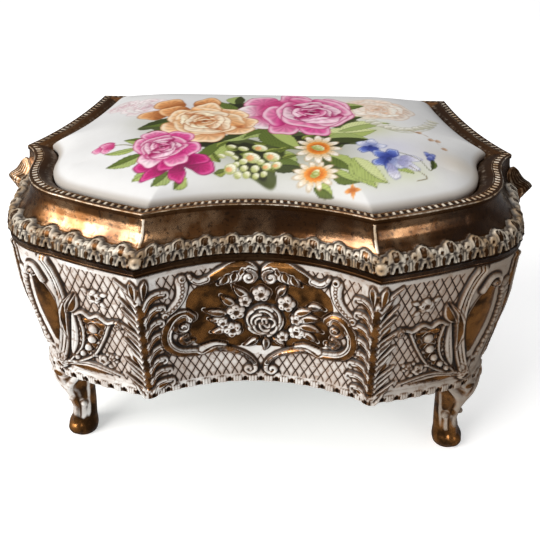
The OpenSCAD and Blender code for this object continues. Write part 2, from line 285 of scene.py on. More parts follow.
class Relief:
    """Cast relief on a stretch of wall: u runs along it and v up it."""
    PITCH = 0.12
    REACH = 0.5

    def __init__(self, u0, u1, v0, v1):
        self.u0, self.v0 = u0, v0
        nu, nv = int((u1 - u0) / self.PITCH) + 2, int((v1 - v0) / self.PITCH) + 2
        self.u = u0 + self.PITCH * np.arange(nu)[None, :]
        self.v = v0 + self.PITCH * np.arange(nv)[:, None]
        self.height, self.tone, self.grime_and_shade, self.net = (np.zeros((nv, nu)) for _ in range(4))

    def window(self, u0, u1, v0, v1):
        """The part of the wall between two distances and two heights."""

        def cut(lo, hi, start, count):
            a = int((lo - start) / self.PITCH) - 1
            b = int((hi - start) / self.PITCH) + 2
            return slice(max(a, 0), max(min(b, count), 0))

        rows = cut(v0, v1, self.v0, self.v.shape[0])
        cols = cut(u0, u1, self.u0, self.u.shape[1])
        return (rows, cols), self.u[:, cols], self.v[rows]

    def near(self, line, reach):
        """The window round a line, with each place's distance to it and share along it."""
        lo, hi = line.min(0) - reach, line.max(0) + reach
        where, u, v = self.window(lo[0], hi[0], lo[1], hi[1])
        dist = np.full((v.shape[0], u.shape[1]), FAR)
        share = np.zeros_like(dist)
        steps = np.linalg.norm(np.diff(line, axis=0), axis=1)
        total = max(steps.sum(), 1e-6)
        gone = 0.0
        for a, b, step in zip(line[:-1], line[1:], steps):
            if step < 1e-9:
                continue
            d = (b - a) / step
            along = np.clip((u - a[0]) * d[0] + (v - a[1]) * d[1], 0, step)
            du, dv = u - a[0] - along * d[0], v - a[1] - along * d[1]
            far = np.hypot(du, dv)
            closer = far < dist
            dist = np.where(closer, far, dist)
            share = np.where(closer, (gone + along) / total, share)
            gone += step
        return where, dist, share

    def lay(self, where, inside, rise, tone, edge, line_dark):
        """Raises the relief where inside holds, sets its tone and darkens the foot of its edge."""
        height, colour, grime_and_shade = self.height[where], self.tone[where], self.grime_and_shade[where]
        height[inside] = np.maximum(height[inside], rise[inside])
        tone = np.broadcast_to(tone, inside.shape)
        colour[inside] = tone[inside]
        grime_and_shade[inside] *= 0.2
        self.net[where] *= ~inside
        if line_dark > 0:
            colour[:] = colour * (1 - 0.8 * bell(edge, 0.42, 0.18) * (edge > 0))
            grime_and_shade[:] = np.maximum(grime_and_shade, line_dark * bell(edge, 0.08, 0.15))

    def stroke(self, points, r0, r1, rise, tone=1.0, dark=0.8, belly=0.0, groove=0.0, rim=0.72):
        """A rounded bar along a line whose radius runs from r0 to r1, with white left on its edges."""
        line = np.asarray(points, float)
        where, dist, share = self.near(line, max(r0, r1) + belly + self.REACH)
        if dist.size == 0:
            return
        radius = r0 + (r1 - r0) * share + belly * np.sin(np.pi * share)
        x = dist / np.maximum(radius, 0.05)
        bulge = rise * dome(x)
        if groove:
            bulge = bulge - groove * bell(dist, 0, 0.3 * np.maximum(radius, 0.1))
        self.lay(where, x < 1, bulge, tone * (1 - step_up(x, rim, rim + 0.2)), dist - radius, dark)

    def curve(self, points, *sizes, side=1, **more):
        """A stroke along the smooth line through given points, which side mirrors."""
        self.stroke(mirrored(points, side), *sizes, **more)

    def leaf(self, base, tip, width, rise, bow=0.0, tone=0.0, dark=0.8, vein=0.5):
        """A pointed leaf with a sunk midrib; bow bends it to its left."""
        base, tip = np.array(base, float), np.array(tip, float)
        run = tip - base
        pull = (base + tip) / 2 + 2 * bow * np.array((-run[1], run[0]))
        line = bend(base, pull, tip, np.linspace(0, 1, 14))
        where, dist, share = self.near(line, width + self.REACH)
        if dist.size == 0:
            return
        radius = np.maximum(width * np.sin(np.pi * np.clip(share, 0.02, 0.98) ** 0.75), 0.06)
        x = dist / radius
        shape = rise * dome(x) - vein * rise * bell(dist, 0, 0.16)
        shade = tone * (1 - step_up(x, 0.45, 0.72))
        self.lay(where, x < 1, shape, shade, dist - radius, dark)
        self.grime_and_shade[where] = np.maximum(self.grime_and_shade[where], 0.8 * vein * bell(dist, 0, 0.12) * (x < 0.8))

    def dot(self, centre, radius, rise, tone=0.0, dark=0.8, flat=2.0, rim=0.5):
        """A round boss."""
        cx, cy = centre
        reach = radius + self.REACH
        where, u, v = self.window(cx - reach, cx + reach, cy - reach, cy + reach)
        dist = np.hypot(u - cx, v - cy)
        if dist.size == 0:
            return
        x = dist / radius
        bulge = rise * dome(x, flat)
        self.lay(where, x < 1, bulge, tone * (1 - step_up(x, rim, rim + 0.25)), dist - radius, dark)

    def flower(self, centre, radius, petals=5, rise=0.8, turn=0.0, tone=0.9):
        """A small open flower whose hollow petals hold the bronze."""
        cx, cy = centre
        for k in range(petals):
            a = turn + 2 * math.pi * k / petals
            spot = (cx + 0.58 * radius * math.cos(a), cy + 0.58 * radius * math.sin(a))
            self.dot(spot, 0.47 * radius, rise, tone, 0.6, 3, 0.34)
        self.dot((cx, cy), 0.24 * radius, rise * 0.8, 1.0, 0.9)

    def rose(self, centre, radius, rise=1.2):
        """A full-blown rose: folded petal edges left white over a bronze heart."""
        cx, cy = centre
        self.dot(centre, radius, rise * 0.6, 1.0, 1.0, 4, 0.86)
        for ring, (share, count, sweep) in enumerate([(0.88, 5, 0.66), (0.64, 4, 0.8), (0.42, 3, 1.0),
                                                      (0.2, 2, 1.3)]):
            for k in range(count):
                a = 2 * math.pi * (k + 0.45 * ring) / count + 0.5
                line = [(cx + (share + 0.12 * math.sin(2.2 * s + k)) * radius * math.cos(a + s),
                         cy + (share + 0.12 * math.sin(2.2 * s + k)) * radius * math.sin(a + s))
                        for s in np.linspace(-sweep, sweep, 9)]
                self.stroke(line, 0.42, 0.26, rise * (0.85 + 0.12 * ring), 0.0, 0.75)

    def lattice(self, inside):
        """Incised diamonds with a pit at each crossing, where inside holds."""
        a = self.u / LATTICE_ACROSS + self.v / LATTICE_UP
        b = self.u / LATTICE_ACROSS - self.v / LATTICE_UP
        da, db = (np.abs((k + 0.5) % 1 - 0.5) for k in (a, b))
        scale = 1 / math.hypot(1 / LATTICE_ACROSS, 1 / LATTICE_UP)
        line = bell(np.minimum(da, db) * scale, 0, 0.15)
        pit = np.exp(-((da ** 2 + db ** 2) * scale ** 2) / 0.08)
        soft = blur(inside.astype(float), 3)
        self.height -= soft * (0.14 * line + 0.2 * pit)
        self.net = np.maximum(self.net, soft)

    def finish(self):
        """Rounds the relief a little. Raised places are lightened as wear with a painted highlight, and
        hollows are darkened with dirt and painted shade.
        """
        rough = blur(self.height, 1)
        self.height = 0.5 * self.height + 0.5 * rough
        relief = self.height - blur(self.height, 5)
        # raised places: wear and a painted highlight; hollows: dirt and painted shade
        self.wear_and_highlight = np.clip(relief / 0.2 - 0.9, 0, 1)
        self.grime_and_shade = np.clip(self.grime_and_shade + np.clip(-relief / 0.2 - 0.16, 0, 0.92), 0, 1)
        self.tone = 0.5 * self.tone + 0.5 * blur(self.tone, 1)
        self.grime_and_shade = 0.6 * self.grime_and_shade + 0.4 * blur(self.grime_and_shade, 1)

    def sample(self, u, v):
        """Height, the three masks and the lattice's cover at places on the wall."""
        x = np.clip((u - self.u0) / self.PITCH, 0, self.u.shape[1] - 1.001)
        y = np.clip((v - self.v0) / self.PITCH, 0, self.v.shape[0] - 1.001)
        return [sampled(a, y, x) for a in (self.height, self.tone, self.grime_and_shade, self.wear_and_highlight, self.net)]


# ---------------------------------------------------------------- relief designs
def ridge_barbs(art, ridge, away, fine=False):
    """Feathering beside a ridge: broad curling leaves, or close thin barbs where fine holds."""
    out = away * (art.u - ridge) + 0 * art.v
    ground = step_up(4.4 - out, 0, 1.6) * (out > -0.6) * (1 - step_up(art.v, 30, 34))
    art.tone = np.maximum(art.tone, 0.85 * ground)
    art.net *= 1 - ground

    def place(points):
        return through([(ridge + away * a, b) for a, b in points])

    if fine:
        for k in range(17):
            v, long = 0.2 + 1.95 * k, 4.4 + 1.1 * math.sin(2.1 * k) + 0.7 * math.sin(0.8 * k)
            art.stroke(place([(0.2, v), (0.40 * long, v + 1.6), (long, v + 4.6 + 0.5 * math.sin(3 * k))]),
                       0.55, 0.28, 0.8, 0.75, 0.9, rim=0.4)
    else:
        for k in range(8):
            v, long = 0.2 + 3.9 * k, 5.0 + 0.8 * math.sin(1.9 * k + away)
            art.stroke(place([(0.4, v), (1.3, v + 2.1), (3.0, v + 3.3), (long, v + 3.7)]), 1.1, 0.5, 0.8,
                       1.0, 0.9, 0.4, rim=0.7)
            art.stroke(place([(0.5, v + 1.6), (1.6, v + 3.4), (3.2, v + 4.4), (long - 0.3, v + 4.6)]),
                       0.24, 0.34, 1.05, 0.0, 0.6)
            art.stroke(place([(long - 0.5, v + 4.5), (long + 0.7, v + 4.2), (long + 0.9, v + 3.0),
                              (long, v + 2.6)]), 0.36, 0.26, 1.1, 0.0, 0.7)
    art.stroke([(ridge, 1.0), (ridge, 34.0)], 0.3, 0.3, 0.6, 0.8, 0.3)
    art.leaf((ridge + away * 1.6, 36), (ridge + away * 0.7, 30.6), 1.0, 0.8, 0, 0.9, 1.0, 0.2)


def bottom_border(art, u0, u1):
    """Dark pits with three ticks between them along the lower edge, over a small bead."""
    art.height += 0.75 * bell(art.v, 1.2, 1.15, 4) * np.ones_like(art.u)
    art.tone = np.maximum(art.tone, 0.9 * (1 - step_up(art.v, 1.7, 2.5)))
    for k in range(math.floor(u0 / BORDER_PITCH), math.ceil(u1 / BORDER_PITCH) + 1):
        at = BORDER_PITCH * k
        pit = np.exp(-((art.u - at) / 0.8) ** 2 - ((art.v - 1.2) / 0.65) ** 2)
        art.height -= 0.55 * pit
        art.grime_and_shade = np.maximum(art.grime_and_shade, pit)
        for side in (-1, 0, 1):
            tick = at + BORDER_PITCH / 2 + 0.72 * side
            art.stroke([(tick, 0.5), (tick, 2.1)], 0.34, 0.3, 1.0, 0.42, 0.5, rim=0.5)
    lip = bell(art.v, 2.75, 0.3)
    art.height += 0.35 * lip * np.ones_like(art.u)


def big_scroll(art, side):
    """The large C-scroll that frames half of the cartouche; side mirrors it."""
    art.curve([(16.9, 22.6), (18.6, 24.0), (21.3, 23.2), (23.3, 20), (23.2, 15.8), (20.3, 12.4),
               (15.4, 11.4), (11.4, 12.0), (8.2, 11.3), (5.0, 10.0), (2.4, 7.8), (1.2, 5.2),
               (2.0, 3.6), (3.6, 3.9)], 1.35, 0.55, 1.15, 0.95, 1.0, side=side)
    art.curve([(17.6, 22.6), (19.0, 23.1), (20.8, 22.2), (22.3, 19.6), (22.0, 16.2), (19.7, 13.6),
               (15.4, 12.6)], 0.3, 0.22, 1.45, 0.0, 0.3, side=side)
    eye = spiral((side * 18.9, 20.6), 2.5, 0.5, 90, -1.1 * side)
    art.stroke(eye, 0.95, 0.6, 1.25, 0.9, 0.8)
    art.dot((side * 18.9, 20.7), 0.75, 1.5, 0.9, 0.6)
    art.curve([(18.2, 17.4), (19.7, 16.6), (18.6, 14.9), (16.6, 15.4)], 0.7, 0.5, 0.9, 0.85, 0.8, side=side)
    art.curve([(14.8, 12.6), (11.4, 13.6), (8.6, 13.0)], 0.75, 0.25, 1.1, 0.25, 0.8, groove=0.3, side=side)
    curl = spiral((side * 2.9, 4.6), 1.7, 0.35, 150 if side > 0 else 30, 1.15 * side)
    art.stroke(curl, 0.62, 0.42, 1.1, 0.35, 0.8)


def top_acanthus(art, side):
    """A leaf scroll at the top: a volute by the middle and a frond running outwards."""
    art.curve([(1.0, 33.4), (1.6, 35.2), (3.6, 35.9), (6.4, 35.6), (9.2, 34.4), (12.2, 32.9), (14.6, 32.6),
               (16.6, 34.0)], 0.85, 0.5, 1.2, 0.95, 1.0, belly=0.75, side=side)
    for k, (u, v) in enumerate([(5.2, 34.2), (7.0, 33.4), (9.0, 32.6)]):
        art.leaf((side * (u - 1.2), v + 1.2), (side * (u + 0.9), v - 2.6 + 0.5 * k), 1.15, 1.0,
                 -0.1 * side, 0.9, 0.9, 0.3)
    art.stroke(spiral((side * 2.6, 33.0), 2.0, 0.4, 90, 1.2 * side), 0.72, 0.5, 1.35, 0.55, 0.9)
    art.dot((side * 2.6, 33.0), 0.5, 1.4, 0.5, 0.6)
    art.curve([(12.8, 33.5), (14.8, 33.2), (16.5, 34.6)], 0.35, 0.3, 1.3, 0.1, 0.6, side=side)
    art.dot((side * 16.7, 34.6), 0.6, 1.1, 0.6, 0.8)


def pearl_crescent(art, side):
    """A curved pod with small pearls inside, at the cartouche's shoulder."""
    spine = mirrored([(18.6, 33.6), (18.5, 31.4), (19.2, 28.8), (20.8, 26.8), (22.8, 25.4)], side)
    art.stroke(spine, 1.5, 1.0, 0.95, 0.9, 0.9)
    art.stroke(spine, 1.15, 0.7, 0.7, 0.0, -1)
    for spot in spine[4:-3:5]:
        art.dot(spot, 0.36, 1.15, 0.0, 0.9)
    art.dot((side * 18.4, 34.3), 0.95, 1.1, 0.85, 0.9)
    art.dot((side * 23.1, 25.0), 0.9, 1.1, 0.8, 0.9)


def bouquet(art):
    """The rose with its small flowers and leaves in the middle of the cartouche."""
    for base, tip, width in [((-8, 22.6), (-13.6, 24.2), 0.8), ((-8, 21), (-12.6, 21.2), 0.8),
                             ((-8, 18.4), (-12.2, 17), 0.8), ((-6, 25), (-9.4, 27.8), 0.9),
                             ((8.4, 22), (12.8, 24.6), 1.0), ((9, 20.6), (15.2, 22.4), 1.0),
                             ((9.4, 19.2), (15.4, 18.6), 0.95), ((9.6, 17.4), (14.2, 15.2), 0.9),
                             ((4.6, 27.6), (6.6, 30.6), 0.8), ((-2.6, 27), (-6.4, 30.4), 0.9),
                             ((1.2, 14.8), (1.0, 10.6), 0.8), ((-0.6, 14.6), (-4.2, 12.0), 0.75),
                             ((3, 14.6), (6.2, 12.0), 0.75), ((11.6, 25.4), (15.8, 25.6), 0.8)]:
        art.leaf(base, tip, width + 0.15, 0.85, 0.08, 0.9, 1.0, 0.2)
    for centre, radius in [((0.3, 28), 2.1), ((6.4, 25.6), 2.2), ((9.0, 17.4), 2.0), ((-5.8, 22.8), 2.2),
                           ((-6.8, 17.4), 2.2), ((-3.6, 25.9), 1.6), ((5.6, 15.6), 1.5),
                           ((-9.2, 19.8), 1.4), ((8.9, 21.2), 1.5)]:
        art.flower(centre, radius, 5, 0.95, centre[0])
    art.rose((1.3, 20.1), 4.6, 1.5)


def front_design():
    """The hollow front: lattice, cartouche with its bouquet, and the feathering at both ridges."""
    art = Relief(-ARC_FRONT, ARC_FRONT, 0, WALL_H)
    u, v = np.abs(art.u), art.v
    framed = ((u / 21.5) ** 2 + ((v - 21.5) / 12.5) ** 2 < 1) & (v > 9)
    plain = u < 24.5
    art.lattice(plain & ~framed & (v > 2.7) & (v < 35.8))
    ground = ((u / 18.0) ** 4 + ((v - 22.2) / 10.4) ** 4 < 1)
    cart = step_up(blur(ground.astype(float), 4), 0.3, 0.7)
    art.tone = np.maximum(art.tone, cart)
    art.height -= 0.15 * cart
    # painted shadow and dirt under the lid band: the wall darkens towards its top
    art.grime_and_shade = np.maximum(art.grime_and_shade, 0.3 * step_up(v, 34.6, 36.4))
    for side in (-1, 1):
        ridge_barbs(art, side * ARC_FRONT, -side)
        top_acanthus(art, side)
        pearl_crescent(art, side)
        big_scroll(art, side)
    bouquet(art)
    bottom_border(art, -ARC_FRONT, ARC_FRONT)
    art.finish()
    return art


def lens_panel(art):
    """A lens-shaped panel on the round of the corner, with a leafy outer edge."""
    lens = through([(57.6, 31.6), (55.6, 26), (54.6, 19), (54.8, 12.4)])
    art.stroke(lens, 0.6, 0.6, 0.35, 1.0, 1.0, belly=2.6, rim=0.84)
    for k in range(9):
        spot = 10.5 + 2.3 * k
        lean = 58.0 + 0.14 * (spot - 8) + 1.6 * math.sin(math.pi * k / 8)
        art.leaf((lean - 0.6, spot), (lean + 2.6, spot + 1.6), 1.05, 0.9, 0.15, 0.05, 0.9, 0.5)
        art.dot((lean - 0.5, spot - 0.4), 0.6, 1.0, 0.5, 0.8)


def corner_stem(art):
    """Two ribs from the top to the boss over the foot."""
    stem = [(53.4, 36.6), (51.0, 31.6), (49.9, 26), (50.4, 19), (52.2, 12), (54.8, 6)]
    art.curve(stem, 1.1, 0.95, 0.9, 1.0, 1.0, rim=0.8)
    art.curve([(a + 0.9, b) for a, b in stem], 0.38, 0.34, 1.35, 0.0, 0.5)
    art.curve([(a - 1.1, b) for a, b in stem], 0.38, 0.34, 1.2, 0.0, 0.9)
    art.curve([(54.2, 30), (56.2, 33.4), (58.6, 32.8), (58.4, 30.6)], 0.75, 0.55, 1.2, 0.3, 0.9)
    art.dot((57.4, 31.4), 0.8, 1.3, 0.8, 0.9)
    art.dot((55.4, 4.9), 2.1, 1.5, 0.8, 0.9)
    for a in np.radians((35, 80, 125, 170)):
        art.leaf((55.4 + 1.3 * math.cos(a), 4.9 + 1.3 * math.sin(a)),
                 (55.4 + 4.2 * math.cos(a), 5.2 + 4.4 * math.sin(a)), 0.9, 0.9, 0.05, 0.25, 0.8)


def trumpet_flower(art):
    """A trumpet flower with graded pearls, and the leaves round it."""
    edges = [((45.4, 22.8), (45.6, 12.5), (51.6, 6.8)), ((37.4, 22.4), (41.2, 10.5), (51.0, 6.2))]
    left, right = (bend(*np.array(edge), np.linspace(0, 1, 12)) for edge in edges)
    for line in zip(left, right):
        art.stroke(line, 0.75, 0.75, 0.3, 1.0, 0, rim=0.97)
    art.curve([(45.6, 23.0), (45.0, 17.5), (46.8, 12), (51.6, 6.6)], 0.3, 0.26, 1.15, 0.0, 0.8)
    art.curve([(37.0, 22.3), (39.6, 16.4), (43.6, 10.4), (51.0, 5.8)], 0.34, 0.28, 1.15, 0.0, 0.8)
    art.curve([(46.4, 22.6), (44.2, 23.8), (42.2, 22.8), (40.0, 23.9), (37.6, 22.6), (35.2, 23.4),
               (34.4, 22.0)], 0.42, 0.36, 1.2, 0.05, 0.8)
    art.stroke(spiral((35.0, 22.2), 1.2, 0.3, 90, 0.9), 0.4, 0.3, 1.2, 0.6, 0.9)
    for centre, radius in [((42.0, 19.4), 1.3), ((42.9, 15.9), 1.15), ((44.5, 12.9), 1.0),
                           ((46.6, 10.4), 0.85), ((48.8, 8.5), 0.7)]:
        art.dot(centre, radius, 1.5, 0.0, 1.0)
    art.leaf((50.6, 8.5), (47.4, 24.2), 1.1, 0.95, 0.06, 0.1, 1.0, 0.5)
    art.leaf((50.2, 14), (46.2, 28.6), 1.2, 0.85, -0.12, 0.85, 0.9, 0.2)
    art.leaf((48.6, 22.6), (45.4, 28.8), 1.3, 0.9, 0.1, 0.8, 1.0, 0.2)
    art.leaf((52.6, 5.1), (37.2, 5.3), 1.2, 0.9, -0.03, 1.0, 1.0, 0.2)
    art.curve([(52.6, 6.0), (44, 7.4), (36, 5.8)], 0.28, 0.24, 0.9, 0.0, 0.8)


def corner_flowers(art):
    """Small flowers with sprigs on the lattice."""
    for centre, radius in [((40.2, 29.2), 1.9), ((40.8, 9.6), 1.6), ((38.0, 11.2), 1.0), ((73, 27), 1.9),
                           ((76, 12), 1.7)]:
        art.flower(centre, radius, 5, 0.9, centre[1])
        for turn in (0.4, 2.6, 3.9):
            tip = (centre[0] + 2.2 * radius * math.cos(turn), centre[1] + 1.7 * radius * math.sin(turn))
            base = (centre[0] + radius * math.cos(turn), centre[1] + radius * math.sin(turn))
            art.leaf(base, tip, 0.6, 0.7, 0.1, 0.2, 0.9)


def side_frond(art):
    """The frond on the side half, which mirrors the corner's stem."""
    art.curve([(65.4, 36.4), (64.2, 30), (65.6, 22), (67.6, 14), (66.2, 5)], 1.1, 0.9, 0.9, 0.85, 1.0)
    art.curve([(66.2, 36.4), (65.0, 30), (66.4, 22), (68.4, 14), (67.0, 5)], 0.36, 0.32, 1.25, 0.0, 0.8)
    art.curve([(67, 6), (73, 9), (77, 16), (76.4, 21), (73.6, 21.4), (73.6, 18.8)], 0.9, 0.5, 1.1, 0.8, 1.0)


def corner_design():
    """The front corner, drawn for the right-hand side from the front ridge to the side point."""
    art = Relief(ARC_FRONT - 0.5, ARC_SIDE + 0.5, 0, WALL_H)
    u, v = art.u, art.v
    art.lattice(((u > 33) & (u < 49.5) | (u > 66) & (u < 85)) & (v > 4) & (v < 36))
    ridge_barbs(art, ARC_FRONT, 1, True)
    ridge_barbs(art, ARC_SIDE, -1, True)
    lens_panel(art)
    corner_stem(art)
    trumpet_flower(art)
    corner_flowers(art)
    side_frond(art)
    bottom_border(art, ARC_FRONT, ARC_SIDE)
    art.finish()
    return art


def back_cartouche(art):
    """Half of the back's cartouche; the other half mirrors it about the middle of the back."""
    near = ARC_END - art.u
    ground = step_up(blur(((near / 21) ** 4 + ((art.v - 17.5) / 8.6) ** 4 < 1).astype(float), 4), 0.3, 0.7)
    art.tone = np.maximum(art.tone, ground)
    art.height -= 0.15 * ground

    def flip(points):
        return [(ARC_END - a, b) for a, b in points]

    art.curve(flip([(0, 5.2), (6, 6.6), (14, 7.4), (22, 9.4), (25, 15), (23.4, 21), (19.4, 21.6),
                    (18.8, 18.6)]), 1.0, 0.8, 1.2, 0.95, 1.0, belly=0.5)
    art.curve(flip([(14, 8.0), (21.4, 10.2), (23.8, 15), (22.4, 19.6)]), 0.28, 0.24, 1.5, 0.0, 0.3)
    art.curve(flip([(0, 27.4), (5, 28.4), (11, 27.6), (17, 26), (21, 27.4)]), 0.9, 0.5, 1.15, 0.9, 1.0,
              belly=0.5)
    for centre, radius in [((3.5, 18.4), 3.0), ((9.4, 16.4), 2.2), ((9.0, 21.4), 1.9)]:
        art.flower((ARC_END - centre[0], centre[1]), radius, 5, 1.1, centre[1])
    for base, tip in [((11, 17), (16, 18.6)), ((10.6, 15), (15.4, 13.2)), ((3.4, 14.8), (5.4, 11.2))]:
        art.leaf(flip([base])[0], flip([tip])[0], 0.95, 0.9, 0.08, 0.05, 1.0, 0.6)


def rear_design():
    """Side behind the side point and half of the back, for the right-hand side."""
    art = Relief(ARC_SIDE - 0.5, ARC_END + 0.5, 0, WALL_H)
    u, v = art.u, art.v
    art.lattice((v > 4) & (v < 36) & (np.abs(u - ARC_BACK) > 3))
    ridge_barbs(art, ARC_SIDE, 1, True)
    ridge_barbs(art, ARC_BACK, -1)
    ridge_barbs(art, ARC_BACK, 1)
    for centre in ((ARC_SIDE + 14, 24), (ARC_SIDE + 27, 24), (ARC_BACK + 12, 12)):
        art.flower(centre, 2.2, 5, 0.95, centre[0])
    mid = ARC_SIDE + 20.5
    for side in (-1, 1):
        art.curve([(mid + side * 2, 6), (mid + side * 9, 8), (mid + side * 12, 15), (mid + side * 9, 20),
                   (mid + side * 6.4, 17.4), (mid + side * 8.2, 15.6)], 1.2, 0.6, 1.15, 0.9, 1.0)
        art.curve([(mid + side * 9, 9.4), (mid + side * 10.8, 15), (mid + side * 8.8, 18.6)], 0.28, 0.24,
                  1.4, 0.0, 0.3)
    art.leaf((mid, 5), (mid, 14), 1.8, 1.0, 0, 0.4, 1.0)
    back_cartouche(art)
    bottom_border(art, ARC_SIDE, ARC_END)
    art.finish()
    return art


# ---------------------------------------------------------------- materials
WHITE, BRONZE = (0.67, 0.655, 0.63), (0.20, 0.085, 0.022)
DARK, BLACK = (0.018, 0.008, 0.003), (0, 0, 0)


class Finish:
    """A material with a short way to add shader nodes."""

    def __init__(self, name, **values):
        self.mat = bpy.data.materials.new(name)
        self.mat.use_nodes = True
        self.nodes, self.links = self.mat.node_tree.nodes, self.mat.node_tree.links
        self.shader = self.nodes["Principled BSDF"]
        for key, value in values.items():
            self.shader.inputs[key.replace("_", " ")].default_value = value
        self.place = self.nodes.new("ShaderNodeTexCoord").outputs["Object"]

    def node(self, kind, settings=None, **inputs):
        """A shader node with its settings and inputs."""
        made = self.nodes.new(kind)
        for key, value in (settings or {}).items():
            setattr(made, key, value)
        for key, value in inputs.items():
            self.feed(made.inputs[key.replace("_", " ")], value)
        return made

    def feed(self, socket, value):
        """Links a socket or sets a plain value."""
        if isinstance(value, bpy.types.NodeSocket):
            self.links.new(value, socket)
        else:
            socket.default_value = value

    def set(self, **sockets):
        """Feeds the shader's own inputs."""
        for key, value in sockets.items():
            self.feed(self.shader.inputs[key.replace("_", " ")], value)

    def noise(self, scale, detail=4.0):
        """A cloudy value from 0 to 1 over the object."""
        return self.node("ShaderNodeTexNoise", Vector=self.place, Scale=scale, Detail=detail,
                         Roughness=0.55).outputs["Fac"]

    def masks(self):
        """The three point masks."""
        found = self.node("ShaderNodeAttribute", {"attribute_name": "Mask"})
        return self.node("ShaderNodeSeparateColor", Color=found.outputs["Color"]).outputs[0:3]

    def across(self):
        """The place from left to right, in metres."""
        return self.node("ShaderNodeSeparateXYZ", Vector=self.place).outputs[0]

    def math(self, kind, a, b=0.0, clamp=False):
        """One step of arithmetic on two values."""
        made = self.node("ShaderNodeMath", {"operation": kind, "use_clamp": clamp})
        self.feed(made.inputs[0], a)
        self.feed(made.inputs[1], b)
        return made.outputs[0]

    def band(self, value, low, high, out_low=0.0, out_high=1.0):
        """A smooth step of a value between two limits."""
        made = self.node("ShaderNodeMapRange", {"interpolation_type": "SMOOTHSTEP"}, Value=value)
        for i, number in enumerate((low, high, out_low, out_high)):
            made.inputs[i + 1].default_value = number
        return made.outputs[0]

    def blend(self, share, a, b, kind="MIX"):
        """The colour that lies a share of the way from a to b."""
        made = self.node("ShaderNodeMix", {"data_type": "RGBA", "blend_type": kind})
        self.feed(made.inputs[0], share)
        for socket, value in ((made.inputs[6], a), (made.inputs[7], b)):
            self.feed(socket, (*value, 1.0) if isinstance(value, tuple) else value)
        return made.outputs[2]

    def bump(self, height, depth, strength=0.5):
        """A fine texture that shows only in the light."""
        made = self.node("ShaderNodeBump", Height=height, Distance=depth, Strength=strength)
        self.set(Normal=made.outputs[0])


def lattice_lines(f):
    """Thin dark diamonds with a pit at each crossing, and the brown wash that lies beside them."""
    found = f.node("ShaderNodeAttribute", {"attribute_name": "Wall"})
    u, v, net = f.node("ShaderNodeSeparateColor", Color=found.outputs["Color"]).outputs[0:3]
    u, v = f.math("MULTIPLY", u, 1 / LATTICE_ACROSS), f.math("MULTIPLY", v, 1 / LATTICE_UP)
    a = f.math("PINGPONG", f.math("ADD", u, v), 0.5)
    b = f.math("PINGPONG", f.math("SUBTRACT", u, v), 0.5)
    near = f.math("MINIMUM", a, b)
    worn = f.band(f.noise(140, 4), 0.3, 0.6, 0.6, 1.0)
    pit = f.band(f.math("ADD", a, b), 0.11, 0.19, 1.0, 0.0)
    lines = f.math("MAXIMUM", f.math("MULTIPLY", f.band(near, 0.045, 0.115, 1.0, 0.0), worn), pit)
    net = f.band(net, 0.4, 0.8)
    wash = f.math("MULTIPLY", f.band(near, 0.05, 0.36, 0.74, 0.22), worn)
    return f.math("MULTIPLY", lines, net), f.math("MULTIPLY", wash, net)


def tinted(a, b, share):
    """A colour between two, as a tuple."""
    return tuple((1 - share) * x + share * y for x, y in zip(a, b))


def patina_finish(name, lattice=False):
    """White patina rubbed over bronzed metal: masks are bronze tone, dirt with painted shade, and wear with
    a painted highlight.
    """
    f = Finish(name)
    tone, grime_and_shade, wear_and_highlight = f.masks()
    coarse, fine = f.noise(230, 5), f.noise(1300, 4)
    tone = f.math("ADD", tone, f.math("MULTIPLY", f.math("SUBTRACT", coarse, 0.5), 0.5), True)
    tone = f.band(tone, 0.36, 0.6)
    stain = f.band(f.noise(120, 5), 0.40, 0.68, 0.0, 0.66)
    speck = f.band(f.noise(620, 5), 0.55, 0.65, 0.0, 0.75)
    pale = f.blend(stain, WHITE, tinted(WHITE, BRONZE, 0.5))
    pale = f.blend(speck, pale, tinted(WHITE, BRONZE, 0.75))
    # painted shade: the white turns darker and browner towards the right, away from the window light, with
    # more bronze showing
    pale = f.blend(f.band(f.across(), 0.0, 0.058, 0.0, 0.80), pale, (0.18, 0.12, 0.068))
    if lattice:
        lines, wash = lattice_lines(f)
        grime_and_shade = f.math("MAXIMUM", grime_and_shade, lines)
        pale = f.blend(wash, pale, tinted(WHITE, BRONZE, 0.85))
    brown = f.blend(f.band(coarse, 0.36, 0.66), tinted(BLACK, BRONZE, 0.32), tinted(BLACK, BRONZE, 1.9))
    body = f.blend(tone, pale, brown)
    # raised bronze is lightened: chalky wear and a painted highlight
    chalk_and_highlight = f.math("MULTIPLY", f.math("MULTIPLY", wear_and_highlight, tone), f.band(fine, 0.42, 0.6, 0.0, 0.75))
    body = f.blend(chalk_and_highlight, body, tinted(WHITE, BRONZE, 0.2))
    # the dirt mask also carries painted shade in the hollows and under the lid; it darkens the colour to
    # brown, then nearly to black
    soil = f.math("MULTIPLY", grime_and_shade, f.band(coarse, 0.2, 0.5, 0.8, 1.0), True)
    body = f.blend(f.band(soil, 0.12, 0.6), body, tinted(BLACK, BRONZE, 0.5))
    f.set(Base_Color=f.blend(f.band(soil, 0.5, 0.95), body, DARK), Metallic=f.math("MULTIPLY", tone, 0.8),
          Roughness=f.band(tone, 0, 1, 0.5, 0.26))
    f.bump(fine, 0.0001, 0.45)
    return f.mat


